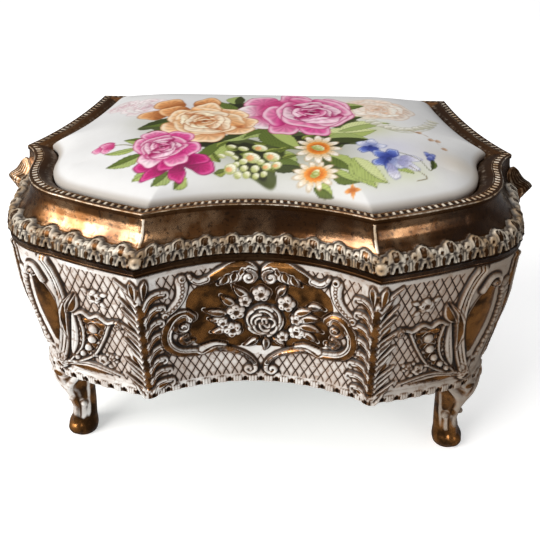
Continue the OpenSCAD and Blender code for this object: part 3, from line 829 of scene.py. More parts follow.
def gilt_finish():
    """Aged gilt: masks are white rubbed in, dirt with painted shade and a painted dark reflection, and
    polish.
    """
    f = Finish("aged_gilt")
    pale, grime_and_shade, polish = f.masks()
    cloud, coarse, fine = f.noise(42, 5), f.noise(170, 6), f.noise(1000, 5)
    gold = f.blend(f.band(coarse, 0.38, 0.62), (0.56, 0.32, 0.16), (0.26, 0.105, 0.03))
    gold = f.blend(f.band(cloud, 0.40, 0.60), gold, (0.10, 0.038, 0.010))
    gold = f.blend(f.band(fine, 0.54, 0.66, 0.0, 0.7), gold, (0.035, 0.014, 0.004))
    # painted shade: the gilt darkens towards the right, away from the window light
    gold = f.blend(f.band(f.across(), 0.028, 0.048, 0.0, 0.72), gold, (0.045, 0.018, 0.006))
    gold = f.blend(polish, (0.085, 0.036, 0.012), gold)
    rubbed = f.blend(f.band(coarse, 0.38, 0.62), (0.74, 0.66, 0.54), (0.40, 0.27, 0.15))
    share = f.band(f.math("ADD", pale, f.math("MULTIPLY", f.math("SUBTRACT", fine, 0.5), 0.7)), 0.3, 0.7)
    body = f.blend(share, gold, rubbed)
    # dirt and painted shade from the masks darken the gilt nearly to black
    body = f.blend(grime_and_shade, body, (0.014, 0.006, 0.0025))
    bare = f.math("SUBTRACT", 0.95, f.math("MULTIPLY", share, 0.85))
    rough = f.math("ADD", f.band(polish, 0, 1, 0.38, 0.22), f.band(coarse, 0.35, 0.7, 0.0, 0.10))
    varnish = f.math("MULTIPLY", f.band(polish, 0.5, 1.0, 0.0, 0.75), f.band(coarse, 0.30, 0.62, 1.0, 0.45))
    f.set(Base_Color=body, Metallic=bare, Roughness=rough, Coat_Weight=varnish, Coat_Roughness=0.2)
    f.bump(fine, 0.00006, 0.5)
    return f.mat


def porcelain_finish():
    """White glazed porcelain whose painting is kept on its points."""
    f = Finish("painted_porcelain", Roughness=0.5, Specular_IOR_Level=0.22, Coat_Weight=0.05,
               Coat_Roughness=0.1)
    paint = f.node("ShaderNodeAttribute", {"attribute_name": "Mask"}).outputs["Color"]
    mottle = f.blend(0.07, paint, f.blend(f.band(f.noise(320, 5), 0.35, 0.7), (1.0, 0.99, 0.97),
                                          (0.7, 0.67, 0.62)), "MULTIPLY")
    f.set(Base_Color=mottle)
    f.bump(f.noise(70, 2), 0.0002, 0.2)
    return f.mat


def velvet_finish():
    """Brushed red pile with a sheen."""
    f = Finish("red_velvet", Roughness=0.85, Sheen_Weight=0.9, Sheen_Roughness=0.35,
               Specular_IOR_Level=0.15)
    f.shader.inputs["Sheen Tint"].default_value = (1.0, 0.35, 0.38, 1)
    brushed = f.band(f.noise(95, 4), 0.3, 0.72)
    pile = f.noise(4200, 2)
    f.set(Base_Color=f.blend(brushed, (0.34, 0.012, 0.03), (0.19, 0.006, 0.016)))
    f.bump(pile, 0.00025, 0.8)
    return f.mat


def plain_finish(name, low, high, scale, rough, metal=0.0, depth=0.00005, **values):
    """A simple mottled finish between two colours."""
    f = Finish(name, Metallic=metal, **values)
    cloud = f.noise(scale, 5)
    f.set(Base_Color=f.blend(f.band(cloud, 0.3, 0.7), low, high),
          Roughness=f.band(cloud, 0.3, 0.7, rough - 0.06, rough + 0.06))
    f.bump(f.noise(scale * 8, 3), depth, 0.6)
    return f.mat


FINISH = {
    "body_casting": patina_finish("patina_casting", lattice=True),
    "foot_casting": patina_finish("patina_foot"),
    "gilt_frame": gilt_finish(),
    "porcelain": porcelain_finish(),
    "velvet": velvet_finish(),
    "hinge_brass": plain_finish("worn_brass", (0.15, 0.075, 0.025), (0.38, 0.22, 0.09), 210, 0.36, 1.0),
    "felt": plain_finish("green_felt", (0.012, 0.05, 0.022), (0.02, 0.075, 0.035), 2500, 0.95,
                         depth=0.0002, Sheen_Weight=0.4),
    "bedding": plain_finish("bedding_felt", (0.5, 0.45, 0.34), (0.6, 0.55, 0.44), 1500, 0.95),
    "card": plain_finish("grey_board", (0.24, 0.17, 0.10), (0.32, 0.24, 0.15), 900, 0.9),
    "plate_steel": plain_finish("bronzed_sheet", (0.05, 0.035, 0.025), (0.08, 0.055, 0.035), 400, 0.45,
                                0.8),
    "steel": plain_finish("plain_steel", (0.5, 0.49, 0.47), (0.6, 0.59, 0.57), 600, 0.3, 1.0)}


def settle(ob, slot, body, *nodes):
    """Closes a piece's open ends, gives it its finish and body, and lets it stand for its CAD nodes."""
    shell = bmesh.new()
    shell.from_mesh(ob.data)
    open_edges = [edge for edge in shell.edges if edge.is_boundary]
    if open_edges:
        for face in bmesh.ops.holes_fill(shell, edges=open_edges, sides=0)["faces"]:
            face.smooth = False
        shell.to_mesh(ob.data)
    shell.free()
    ob.data.materials.clear()
    ob.data.materials.append(FINISH[slot])
    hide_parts(*nodes)
    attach(ob, body)
    return ob


# ---------------------------------------------------------------- body wall
def body_flare(v):
    """How far the wall stands from its lower plan to its upper one at a height over its edge."""
    return np.interp(v / WALL_H, [0, 0.03, 0.08, 0.10, 0.3, 0.5, 0.7, 0.88, 0.95, 0.97, 1],
                     [0.02, 0.10, 0.12, 0.08, 0.45, 0.73, 0.93, 0.99, 0.98, 1.04, 1.04])


def wall_relief(arc, v, designs):
    """Height, masks and lattice of the wall at signed distances and heights."""
    front, corner, rear = designs
    u = np.abs(arc)
    found = [np.zeros(arc.shape) for _ in range(5)]
    for art, here, place in [(front, u <= ARC_FRONT, arc), (corner, (u > ARC_FRONT) & (u <= ARC_SIDE), u),
                             (rear, u > ARC_SIDE, u)]:
        for out, value in zip(found, art.sample(place[here], v[here])):
            out[here] = value
    return found


WALL_ROWS, WALL_STEPS = 160, (0.21, 0.75)


def make_body():
    """The cast body: the relief stands on the lofted wall, with a plain inside."""
    arcs = columns(*WALL_STEPS)
    t = t_at(arcs)
    v = np.linspace(0, WALL_H, WALL_ROWS)
    base = np.zeros((len(v), len(arcs), 3))
    for i, up in enumerate(v):
        base[i, :, :2] = plan(mix(BODY_BOTTOM, BODY_TOP, body_flare(up)), t)
        base[i, :, 2] = Z_BODY + up
    normals = grid_normals(base)
    arc_grid, v_grid = np.meshgrid(arcs, v)
    height, tone, grime_and_shade, wear_and_highlight, net = wall_relief(arc_grid, v_grid,
                                                 (front_design(), corner_design(), rear_design()))
    fade = step_up(v_grid, 0, 0.6) * (1 - step_up(v_grid, WALL_H - 0.9, WALL_H - 0.1))
    ridge = sum(bell(np.abs(arc_grid), at, 1.0) for at in (ARC_FRONT, ARC_SIDE, ARC_BACK))
    swell = 0.35 * ridge * step_up(v_grid, 2, 6) * (1 - step_up(v_grid, 32, 36))
    outer = base + normals * ((height + swell) * fade)[..., None]
    inside = [ring(keys, t, z) for keys, z in [
        (mix(BODY_TOP, BODY_INSIDE, 0.5), Z_BODY_TOP), (BODY_INSIDE, Z_BODY_TOP),
        (BODY_INSIDE, Z_BODY_TOP - 2), (BODY_INSIDE, Z_BODY), (mix(BODY_BOTTOM, BODY_INSIDE, 0.6), Z_BODY)]]
    rings = np.concatenate([outer, np.array(inside)])
    masks = np.zeros((len(rings), len(arcs), 3))
    masks[:len(v)] = np.stack([tone, grime_and_shade, wear_and_highlight], -1)
    masks[len(v):, :, 0] = 1
    masks[len(v):, :, 1] = 0.3
    ob = add_grid("cast_body", rings, masks, wrap_rows=True)
    wall = np.zeros((len(rings), len(arcs), 4))
    wall[..., 0], wall[:len(v), :, 1], wall[:len(v), :, 2] = np.abs(arcs), v_grid, net
    ob.data.color_attributes.new("Wall", "FLOAT_COLOR", "POINT").data.foreach_set("color", wall.ravel())
    return settle(ob, "body_casting", "box", "body_shell")


# ---------------------------------------------------------------- lid frame
CELL = ARC_FRONT / 4.5
BORDER_FOOT = 2.25
BORDER_SCALE = 0.79
BEAD_PITCH = 1.76
LID_STEPS = (0.34, 0.6)
BAND_TOP = 2.2
COVE_FOOT, COVE_TOP = 6.4, 12.4
DISC_AT, DISC_RADIUS = 3.7, 1.25


def border_cell():
    """One repeat of the lid's leaf border: a domed leaf on two legs between curled leaves."""
    art = Relief(-CELL / 2 - 0.4, CELL / 2 + 0.4, -0.5, 6.5)
    top = 4.75 + 0.75 * np.cos(2 * math.pi * art.u / CELL)
    art.height = 0.45 * (1 - step_up(art.v, top - 0.25, top + 0.25)) * step_up(art.v, -0.3, 0.1)
    art.tone = step_up(art.v, top, top + 0.3) * np.ones_like(art.u)
    for side in (-1, 1):
        art.curve([(1.75, 0.2), (2.15, 1.4), (1.85, 2.6), (2.35, 3.7)], 0.6, 0.72, 0.95, 1.0, 1.0, rim=0.6,
                  side=side)
        art.curve([(1.55, 3.2), (1.8, 4.2), (2.6, 4.35), (3.0, 3.6)], 0.26, 0.22, 1.2, 0.0, 0.9, side=side)
        art.stroke([(0.0, 3.4), (side * 0.55, 1.6), (side * 1.05, 0.1)], 0.26, 0.26, 1.15, 0.0, 1.0)
    art.dot((0, 4.1), 1.15, 1.0, 1.0, 1.0, 3, 0.7)
    art.curve([(-1.15, 3.5), (-1.05, 4.7), (0, 5.35), (1.05, 4.7), (1.15, 3.5)], 0.27, 0.27, 1.35, 0.0, 0.9)
    art.stroke([(0, 1.9), (0, 0.2)], 0.22, 0.5, 0.2, 1.0, 1.0, rim=0.95)
    for edge in (CELL / 2, -CELL / 2):
        art.stroke([(edge, 0.2), (edge, 2.6)], 0.24, 0.16, 0.75, 0.0, 0.9)
    art.finish()
    return art


def border(arc, h):
    """Height, paleness, and dirt with painted shade of the leaf border at h over its foot; it rises at the
    side points.
    """
    u = np.abs(arc)
    lift = 1 + 0.55 * bell(u, ARC_SIDE, 6.5)
    h = h / (lift * BORDER_SCALE)
    x = (u + CELL / 2) % CELL - CELL / 2
    height, tone, grime_and_shade = border_cell().sample(x, h)[:3]
    on = ((h > -0.4) & (h < 6.3)) * (1 - bell(u, ARC_SIDE, 4.0, 4))
    return height * on, 0.82 * np.clip(1 - tone, 0, 1) * on * step_up(h, -0.2, 0.2), grime_and_shade * on


def lid_flare(h):
    """How far the lid's outside stands from the rim's plan to the flange's at h over its edge."""
    return np.interp(h, [0, 0.3, 2.1, 2.4, 4.1, 5.7, 6.2, 7.3, 8.9, 10.8, 12.4, 12.7, 13.5, 13.8],
                     [0.96, 1, 1, 0.93, 0.87, 0.74, 0.56, 0.36, 0.18, 0.05, 0, 0.06, 0.06, 0])


LID_ROWS = np.concatenate([[0, 0.15, 0.3, 0.6, 0.85, 0.95, 1.05, 1.4, 1.8, 2.0, 2.1],
                           np.linspace(BAND_TOP, 6.6, 22), np.linspace(6.9, 12.2, 18),
                           [12.4, 12.55, 12.7, 12.9, 13.1, 13.3, 13.5, 13.65, 13.8]])


def lid_relief(arc, kind_h, across):
    """Height, paleness, dirt with painted shade, and polish at a distance round the lid, a height over its
    edge, and a distance across its rim, which is -1 below the rim."""
    height, pale, grime_and_shade = border(arc, kind_h - BORDER_FOOT)
    on_rim = across >= 0
    height, pale, grime_and_shade = height * ~on_rim, pale * ~on_rim, grime_and_shade * ~on_rim
    # transverse ribs between two fillets on top of the rim; their pale tops and dark gaps are partly
    # painted highlight and shade
    rib = 0.5 + 0.5 * np.cos(2 * math.pi * arc / BEAD_PITCH)
    strip = step_up(across, 0.3, 0.55) * (1 - step_up(across, 1.65, 1.9)) * on_rim
    height += strip * (0.42 * rib ** 0.7 - 0.32)
    grime_and_shade = np.maximum(grime_and_shade, strip * np.clip(1 - 2.2 * rib, 0, 1))
    pale = np.maximum(pale, 0.75 * strip * rib)
    fillet = bell(across, 2.05, 0.15) * on_rim + ((kind_h > 13.35) & (kind_h < 13.75))
    pale = np.maximum(pale, 0.5 * fillet)
    grime_and_shade = np.maximum(grime_and_shade, step_up(across, 2.25, 2.6) * 0.3)
    pale = np.maximum(pale, step_up(across, 2.25, 2.6) * 0.36)
    # the front band is darker than its sides, a painted dark reflection with dirt; then fine parting lines
    # on the band, and the sharp ridges of the cove
    grime_and_shade = np.maximum(grime_and_shade, np.where(np.abs(arc) < ARC_FRONT, 0.5, 0.1) * (kind_h < BAND_TOP))
    line = bell(kind_h, 0.95, 0.1)
    height -= 0.18 * line
    grime_and_shade = np.maximum(grime_and_shade, np.maximum(0.7 * line, 0.8 * bell(kind_h, 2.15, 0.14)))
    cove = (kind_h > COVE_FOOT) & (kind_h < COVE_TOP)
    u = np.abs(arc)
    side_band = (kind_h < BAND_TOP) & (u > ARC_FRONT)
    polish = np.where(cove, 1.0, np.where(side_band, 0.8, 0.3)) * (1 - pale)
    for at in (ARC_FRONT, ARC_BACK):
        # a pearled disc at the foot of each ridge of the cove
        dist = np.hypot(u - at, kind_h - DISC_AT)
        inside = dist < DISC_RADIUS
        height = np.where(inside, 0.7 * dome(dist / DISC_RADIUS), height)
        pale = np.where(inside, 1.0, pale)
        grime_and_shade = np.where(inside, bell(dist, 0, 0.35), grime_and_shade)
        grime_and_shade = np.maximum(grime_and_shade, 0.8 * bell(dist - DISC_RADIUS, 0.1, 0.18))
        height += 0.30 * bell(u, at, 0.42) * cove
        pale = np.maximum(pale, 0.9 * bell(u, at, 0.35) * cove)
    height += 0.1 * bell(kind_h, COVE_FOOT, 0.8)
    return height, pale, grime_and_shade, polish


def make_lid_frame():
    """The gilt lid frame: band, leaf border, cove and beaded rim, with the plaque's seat inside."""
    arcs = columns(*LID_STEPS)
    t = t_at(arcs)
    points = [ring(mix(RIM, FLANGE, lid_flare(h)), t, Z_LID + h) for h in LID_ROWS]
    outer, pocket = plan(RIM, t), plan(mix(RIM, PLAQUE, 0.94), t)
    room = np.linalg.norm(pocket - outer, axis=1)
    top = [(w, Z_RIM, 0) for w in np.linspace(0.1, 2.2, 15)] + [
        (2.2, Z_RIM - 0.2, 0.12), (2.2, Z_RIM - 0.5, 0.5), (2.2, Z_RIM - 1.0, 0.85), (2.2, Z_SEAT, 1.0)]
    for width, z, share in top:
        here = mix(outer + (pocket - outer) * (width / room)[:, None], pocket, share)
        points.append(level(here, z))
    lip = mix(LID_INSIDE, mix(RIM, FLANGE, 0.96), 0.5)
    points += [ring(keys, t, z) for keys, z in [
        (WINDOW, Z_SEAT), (WINDOW, Z_SEAT - 1.2), (LID_INSIDE, Z_SEAT - 1.2), (LID_INSIDE, Z_LID + 4),
        (LID_INSIDE, Z_LID), (lip, Z_LID)]]
    base = np.array(points)
    outside = len(LID_ROWS) + len(top)
    arc = np.broadcast_to(arcs, (outside, len(arcs)))
    kind_h = np.r_[LID_ROWS, np.full(len(top), FAR)][:, None] * np.ones_like(arc)
    across = np.r_[np.full(len(LID_ROWS), -1.0), [width + share for width, _, share in top]]
    across = across[:, None] * np.ones_like(arc)
    normals = grid_normals(base[:outside])
    height, pale, grime_and_shade, polish = lid_relief(arc, kind_h, across)
    eased = blur(height, 1) * 0.35 + height * 0.65
    moved = base[:outside] + normals * eased[..., None]
    rings = np.concatenate([moved, base[outside:]])
    masks = np.zeros((len(rings), len(arcs), 3))
    masks[:outside] = np.stack([pale, np.clip(grime_and_shade, 0, 1), polish], -1)
    masks[outside:, :, 1] = 0.35
    ob = add_grid("lid_gilt_frame", rings, masks, wrap_rows=True)
    return settle(ob, "gilt_frame", "lid", "lid_frame")


# a crest's spine in x and height over the lid's edge, and its half width at shares of the way up
CREST_SPINE = [
    (65.9, 0.9), (66.2, 2.4), (66.9, 3.5), (67.9, 4.2), (68.3, 5.0), (67.5, 6.0),
    (66.0, 7.0), (64.9, 8.2), (64.0, 9.4), (62.9, 10.3)]
CREST_SHARES = [0, 0.15, 0.3, 0.42, 0.55, 0.7, 0.85, 1]
CREST_HALF_WIDTHS = [5.4, 5.6, 4.9, 2.7, 2.4, 3.4, 2.5, 0.9]


def make_crest(side, name, node):
    """A veined leaf at a side point: it climbs over the border and its tip rolls outwards."""
    spine = through([(x, Z_LID + h) for x, h in CREST_SPINE], 9)
    count, wide = len(spine), 61
    half = np.interp(np.linspace(0, 1, count), CREST_SHARES, CREST_HALF_WIDTHS)
    across = np.linspace(-1, 1, wide)
    y = SIDE_Y + half[:, None] * across[None]
    t = np.linspace(T_SIDE - 0.8, T_SIDE + 0.8, 300)
    wall = []
    for row, z in zip(y, spine[:, 1]):
        here = plan(mix(RIM, FLANGE, lid_flare(z - Z_LID)), t)
        wall.append(np.interp(row, here[:, 1], here[:, 0]))
    wall = np.array(wall)
    stand = (spine[:, 0] - wall[:, wide // 2])[:, None] * (1 - across ** 2) ** 0.6
    vein = np.cos(across * math.pi * 12)
    front_x = wall + stand + 0.5 * np.sqrt(1 - across ** 4) + 0.10 * vein * (1 - across ** 2)
    z = spine[:, 1:] - 0.9 * across ** 2
    front = np.stack([side * front_x, y, z], -1)
    back = np.stack([side * (wall - 0.4), y, z], -1)
    loop = np.concatenate([front, back[:, ::-1]], 1)
    middle = loop.mean(1, keepdims=True)
    loop = np.concatenate([np.broadcast_to(middle[:1], loop[:1].shape), loop,
                           np.broadcast_to(middle[-1:], loop[-1:].shape)])
    masks = np.zeros((*loop.shape[:2], 3))
    groove = np.r_[np.clip(0.15 - vein, 0, 1), np.full(wide, 0.7)]
    masks[..., 0] = 0.42 * (1 - 0.6 * groove)
    masks[..., 1] = 0.12 + 0.42 * groove
    masks[..., 2] = 0.55
    ob = add_grid(name, loop, masks, flip=side < 0)
    return settle(ob, "gilt_frame", "lid", node)


# ---------------------------------------------------------------- painted porcelain
class Painting:
    """A painter's canvas over the plaque, in the lid's x and y."""
    PITCH = 0.11

    def __init__(self, x0, x1, y0, y1, ground):
        self.x0, self.y0 = x0, y0
        self.x = x0 + self.PITCH * np.arange(int((x1 - x0) / self.PITCH) + 2)[None, :]
        self.y = y0 + self.PITCH * np.arange(int((y1 - y0) / self.PITCH) + 2)[:, None]
        self.rgb = np.ones((self.y.shape[0], self.x.shape[1], 3)) * np.array(ground)

    def window(self, cx, cy, reach):
        """The part of the canvas round a place, with the offsets from it."""
        a = [int((cy - reach - self.y0) / self.PITCH), int((cy + reach - self.y0) / self.PITCH) + 2]
        b = [int((cx - reach - self.x0) / self.PITCH), int((cx + reach - self.x0) / self.PITCH) + 2]
        a, b = np.clip(a, 0, self.y.shape[0]), np.clip(b, 0, self.x.shape[1])
        where = (slice(*a), slice(*b))
        return where, self.x[:, where[1]] - cx, self.y[where[0]] - cy

    def mixin(self, where, share, colour):
        """Lays a colour over a window of the canvas, by a share for each place."""
        patch = self.rgb[where]
        patch += (np.asarray(colour) - patch) * np.clip(share, 0, 1)[..., None]

    def petal(self, cx, cy, rx, ry, turn, inner, outer, edge=None, alpha=1.0, soft=0.25, wave=0.08):
        """A petal: inner colour at its root, outer colour at its rim, which turn points to."""
        where, dx, dy = self.window(cx, cy, max(rx, ry) * 1.35 + 0.5)
        if dx.size == 0 or dy.size == 0:
            return
        c, s = math.cos(turn), math.sin(turn)
        a, b = (dx * c + dy * s) / rx, (-dx * s + dy * c) / ry
        angle = np.arctan2(b, a)
        radius = np.hypot(a, b) / (1 + wave * np.sin(3 * angle + cx) + wave * 0.6 * np.sin(5 * angle + cy))
        cover = 1 - step_up(radius, 1 - soft / min(rx, ry) * 0.5, 1 + soft / min(rx, ry) * 0.5)
        ramp = step_up(a, -0.7, 0.8)
        streak = 0.07 * np.sin(angle * 9 + 3 * a)
        colour = mix(np.array(inner), np.array(outer), ramp[..., None]) * (1 + streak)[..., None]
        self.mixin(where, cover * alpha, colour)
        if edge is not None:
            rim = bell(radius, 0.86, 0.12) * cover * step_up(a, -0.3, 0.5)
            self.mixin(where, rim * alpha * 0.85, edge)
            line = bell((radius - 1.0) * min(rx, ry), 0, 0.13)
            self.mixin(where, line * alpha * 0.6, np.array(inner) * 0.85)

    def petals(self, spots, *colours):
        """Petals of the same colours, each given by its place, size and turn."""
        for spot in spots:
            self.petal(*spot, *colours)

    def stroke(self, points, width, colour, alpha=1.0):
        """A brush line that thins towards its end."""
        line = through(points)
        lo, hi = line.min(0) - width - 0.4, line.max(0) + width + 0.4
        cx, cy = (lo + hi) / 2
        where, dx, dy = self.window(cx, cy, max(hi - lo) / 2)
        dist = np.full((dy.shape[0], dx.shape[1]), FAR)
        for i, (px, py) in enumerate(line):
            size = 1 - 0.4 * i / len(line)
            dist = np.minimum(dist, np.hypot(dx + cx - px, dy + cy - py) / size)
        self.mixin(where, (1 - step_up(dist, width * 0.5 - 0.06, width * 0.5 + 0.12)) * alpha, colour)

    def leaf(self, base, tip, width, colour, light, bow=0.1):
        """A leaf with a lighter half, a midrib and side veins."""
        base, tip = np.array(base, float), np.array(tip, float)
        run = tip - base
        long = np.linalg.norm(run)
        cx, cy = (base + tip) / 2
        where, dx, dy = self.window(cx, cy, long * 0.62 + width)
        c, s = run / long
        a = (dx * c + dy * s) / long + 0.5
        b = -dx * s + dy * c - bow * long * 4 * a * (1 - a)
        half = width * np.sin(np.pi * np.clip(a, 0, 1) ** 0.8) ** 0.9
        jag = 0.035 * np.sin(a * long * 4.5)
        inside = (1 - step_up(np.abs(b) - half * (1 + jag), -0.12, 0.10)) * ((a > 0) & (a < 1))
        side = step_up(b, -0.1, 0.25)
        colours = mix(np.array(colour), np.array(light), side[..., None])
        ribs = (a * long * 1.1 - np.abs(b) * 1.1) % 1
        vein = bell(b, 0, 0.13) + 0.55 * bell(ribs, 0.5, 0.14)
        rim = bell(np.abs(b), half, 0.16)
        colours = colours * (1 - 0.30 * np.clip(vein, 0, 1) - 0.30 * rim)[..., None]
        self.mixin(where, inside, colours)

    def rose(self, cx, cy, rx, ry, deep, mid, pale, light, seed):
        """A cabbage rose of overlapping petals, deep at its folds and pale at its rims."""
        pick = np.random.default_rng(seed)
        self.petal(cx, cy, rx * 0.9, ry * 0.9, 0, deep, deep, None)
        rings = [(0.66, 0.58, 5, mid, pale), (0.47, 0.50, 4, deep, light), (0.29, 0.40, 4, deep, light),
                 (0.14, 0.28, 3, deep, pale), (0.05, 0.16, 2, deep, light)]
        for share, size, count, root, rim in rings:
            start = pick.random() * 2
            for k in range(count):
                a = 2 * math.pi * (k + 0.22 * pick.random()) / count + start
                grow = 0.9 + 0.3 * pick.random()
                px, py = cx + share * rx * math.cos(a), cy + share * ry * math.sin(a)
                turn = math.atan2(ry * math.sin(a), rx * math.cos(a)) + 0.3 * pick.normal()
                tint = 0.9 + 0.2 * pick.random()
                self.petal(px, py, size * rx * 0.8 * grow, size * ry * 1.15 * grow, turn, root,
                           np.clip(np.array(rim) * tint, 0, 1), light, 1.0, 0.2, 0.08)
        self.petal(cx, cy, 0.10 * rx, 0.10 * ry, 0, np.array(deep) * 0.7, deep, None, 0.9)

    def daisy(self, cx, cy, rx, ry, count=12, turn=0.0):
        """A cream daisy with a broad orange ring round a pale green heart."""
        for k in range(count):
            a = turn + 2 * math.pi * k / count
            px, py = cx + 0.68 * rx * math.cos(a), cy + 0.68 * ry * math.sin(a)
            heading = math.atan2(ry * math.sin(a), rx * math.cos(a))
            self.petal(px, py, 0.36 * math.hypot(rx * math.cos(a), ry * math.sin(a)),
                       0.15 * (rx + ry) / 2, heading, (0.86, 0.72, 0.52), (0.96, 0.94, 0.90),
                       (0.99, 0.98, 0.96), 1.0, 0.15, 0.03)
        for k in range(14):
            a = turn + 2 * math.pi * k / 14
            self.petal(cx + 0.36 * rx * math.cos(a), cy + 0.36 * ry * math.sin(a), 0.17 * rx, 0.17 * ry,
                       math.atan2(ry * math.sin(a), rx * math.cos(a)), (0.80, 0.42, 0.12),
                       (0.93, 0.60, 0.27), None, 1.0, 0.15, 0.05)
        self.petal(cx, cy, 0.25 * rx, 0.25 * ry, 0.8, (0.62, 0.66, 0.36), (0.90, 0.92, 0.74), None, 1.0,
                   0.2, 0.05)
        for k in range(9):
            a = 2 * math.pi * k / 9
            self.petal(cx + 0.15 * rx * math.cos(a), cy + 0.15 * ry * math.sin(a), 0.22, 0.26, a,
                       (0.55, 0.55, 0.22), (0.70, 0.68, 0.35), None, 0.8)


ORANGE = ((0.71, 0.42, 0.24), (0.88, 0.62, 0.40), (0.95, 0.78, 0.60), (0.98, 0.91, 0.80))
PINK = ((0.62, 0.11, 0.34), (0.76, 0.25, 0.47), (0.87, 0.52, 0.67), (0.96, 0.82, 0.87))
MAGENTA = ((0.52, 0.05, 0.30), (0.75, 0.13, 0.44), (0.86, 0.36, 0.60), (0.95, 0.76, 0.84))
PEACH = ((0.88, 0.68, 0.54), (0.92, 0.77, 0.66), (0.94, 0.85, 0.78), (0.95, 0.92, 0.88))
BLUSH = ((0.86, 0.68, 0.72), (0.90, 0.78, 0.80), (0.92, 0.86, 0.87), (0.94, 0.92, 0.91))
DEEP_BLUE = ((0.20, 0.25, 0.56), (0.42, 0.50, 0.80))
PALE_BLUE = ((0.50, 0.54, 0.74), (0.90, 0.90, 0.94))
MOSS, SHADE = (0.25, 0.28, 0.13), (0.15, 0.15, 0.08)
GREEN, SAGE = (0.38, 0.44, 0.19), (0.64, 0.70, 0.42)
LIME, YELLOW = (0.68, 0.74, 0.42), (0.84, 0.87, 0.62)


def haze(art, cx, cy, rx, ry, colour, alpha):
    """A soft cloud of colour."""
    where, dx, dy = art.window(cx, cy, max(rx, ry) * 1.6)
    art.mixin(where, alpha * np.exp(-((dx / rx) ** 2 + (dy / ry) ** 2) * 1.3), colour)


def shadows(art, spots, colour, alpha):
    """Dark ragged patches behind the flowers."""
    for x, y, rx, ry in spots:
        art.petal(x, y, rx, ry, 0.3 * x, colour, colour, None, alpha, 0.4, 0.26)


# base, tip, half width, dark and light green, and bend
LEAVES = [
    ((-27, -14), (-34.4, -10.6), 2.1, GREEN, SAGE, -0.1),
    ((-28, -18), (-36.4, -22.2), 2.0, GREEN, SAGE, 0.08),
    ((-30, -15), (-38.0, -16.6), 1.2, SAGE, LIME, 0.1),
    ((-21, -25), (-24.6, -29.2), 1.9, GREEN, SAGE, 0.1),
    ((-24, -25), (-29.4, -27.4), 1.7, SAGE, LIME, -0.1),
    ((-17.4, -25.8), (-19.6, -29.4), 1.5, GREEN, LIME, 0.1),
    ((-24, 3), (-31.6, -2.4), 2.4, MOSS, GREEN, 0.1), ((-23, -4), (-29.6, -6.4), 1.7, GREEN, SAGE, 0.1),
    ((-8, 8), (-14.6, 16.4), 3.2, GREEN, SAGE, 0.12), ((-9, 14), (-8.2, 21.4), 2.6, MOSS, SAGE, 0.1),
    ((-3.6, 12), (-5.0, 19.6), 2.8, SAGE, LIME, -0.1), ((18, 12), (25.4, 14.6), 2.6, GREEN, SAGE, 0.1),
    ((-10, -12), (-16.2, -22.4), 3.1, GREEN, LIME, 0.12),
    ((-4, -3.6), (-10.6, -11.6), 2.8, MOSS, SAGE, 0.1), ((4, -4), (-5.4, -9.6), 2.6, GREEN, SAGE, -0.1),
    ((0.2, -2.6), (9.0, -15.4), 4.2, GREEN, LIME, -0.1), ((5, -16), (7.6, -23.8), 2.7, MOSS, SAGE, -0.1),
    ((2, -22), (9.6, -22.6), 2.2, MOSS, GREEN, 0.1), ((15, 0), (24.6, 6.4), 2.6, MOSS, SAGE, 0.1),
    ((14, -5), (27.6, -2.2), 3.6, LIME, YELLOW, -0.08), ((18, -4), (31.4, 2.8), 2.6, SAGE, YELLOW, 0.1),
    ((15, -9), (25.4, -8.6), 3.2, MOSS, SAGE, 0.1), ((15, -18), (20.6, -23.6), 2.7, GREEN, LIME, 0.1),
    ((16, -23.4), (22.4, -27.0), 1.9, GREEN, LIME, -0.1),
    ((20, -21.5), (26.0, -28.2), 3.2, LIME, YELLOW, 0.12),
    ((21, -18.4), (28.8, -26.4), 3.0, LIME, YELLOW, -0.12),
    ((28, -19.4), (35.0, -22.2), 1.9, LIME, YELLOW, 0.1),
    ((12, -27.4), (16.4, -29.6), 1.3, GREEN, LIME, 0.1)]


def paint_foliage(art):
    """Shadows, leaves and a pink bud behind the flowers."""
    for x, y, rx, ry in [(-3, -16, 13, 10), (12, -14, 12, 11), (-22, -4, 9, 8), (-8, 9, 9, 9)]:
        haze(art, x, y, rx, ry, (0.45, 0.46, 0.33), 0.5)
    for x, y, rx, ry, tint in [(-31, 1, 7, 6, (0.78, 0.78, 0.74)), (-25, 12, 7, 6, (0.80, 0.78, 0.80)),
                               (24, -1, 8, 6, (0.72, 0.74, 0.50)), (33, -21, 6, 4, (0.80, 0.83, 0.62)),
                               (24, -24, 7, 4, (0.76, 0.80, 0.55)), (24, 15, 8, 5, (0.88, 0.78, 0.70)),
                               (30, -12, 8, 6, (0.80, 0.80, 0.88))]:
        haze(art, x, y, rx, ry, tint, 0.6)
    shadows(art, [(-3.0, -17.0, 9.4, 5.6), (6.6, -8.6, 6.2, 5.4), (-11.4, -12.6, 5.6, 5.0),
                  (17.4, -9.4, 4.6, 4.6), (-22, -6.6, 5.2, 4.2), (-9, 10.6, 4.6, 5.6),
                  (16, -20.6, 3.6, 2.8), (-28, -2.2, 3.2, 3.4), (20, 2, 3.6, 4.4)], MOSS, 0.9)
    shadows(art, [(-3.4, -17.6, 7.2, 3.8), (6.8, -9.8, 4.2, 3.2), (-12, -13.8, 3.2, 2.8),
                  (-21.6, -7.2, 3, 2.4), (-9, 12, 2.6, 3.0), (17, -10.6, 2.8, 2.4)], SHADE, 0.85)
    for base, tip, width, dark, light, bow in LEAVES:
        art.leaf(base, tip, width, dark, light, bow)
    art.stroke([(-29.4, -14.6), (-33.6, -13.0), (-36.6, -12.8)], 0.45, (0.50, 0.48, 0.34))
    for x, y, turn in ((-38.4, -12.2, 3.6), (-39.6, -13.8, 3.9), (-37.6, -14.2, 4.2), (-37.8, -12.8, 2.6)):
        art.petal(x, y, 1.9, 1.4, turn, PINK[1], PINK[2], PINK[3])


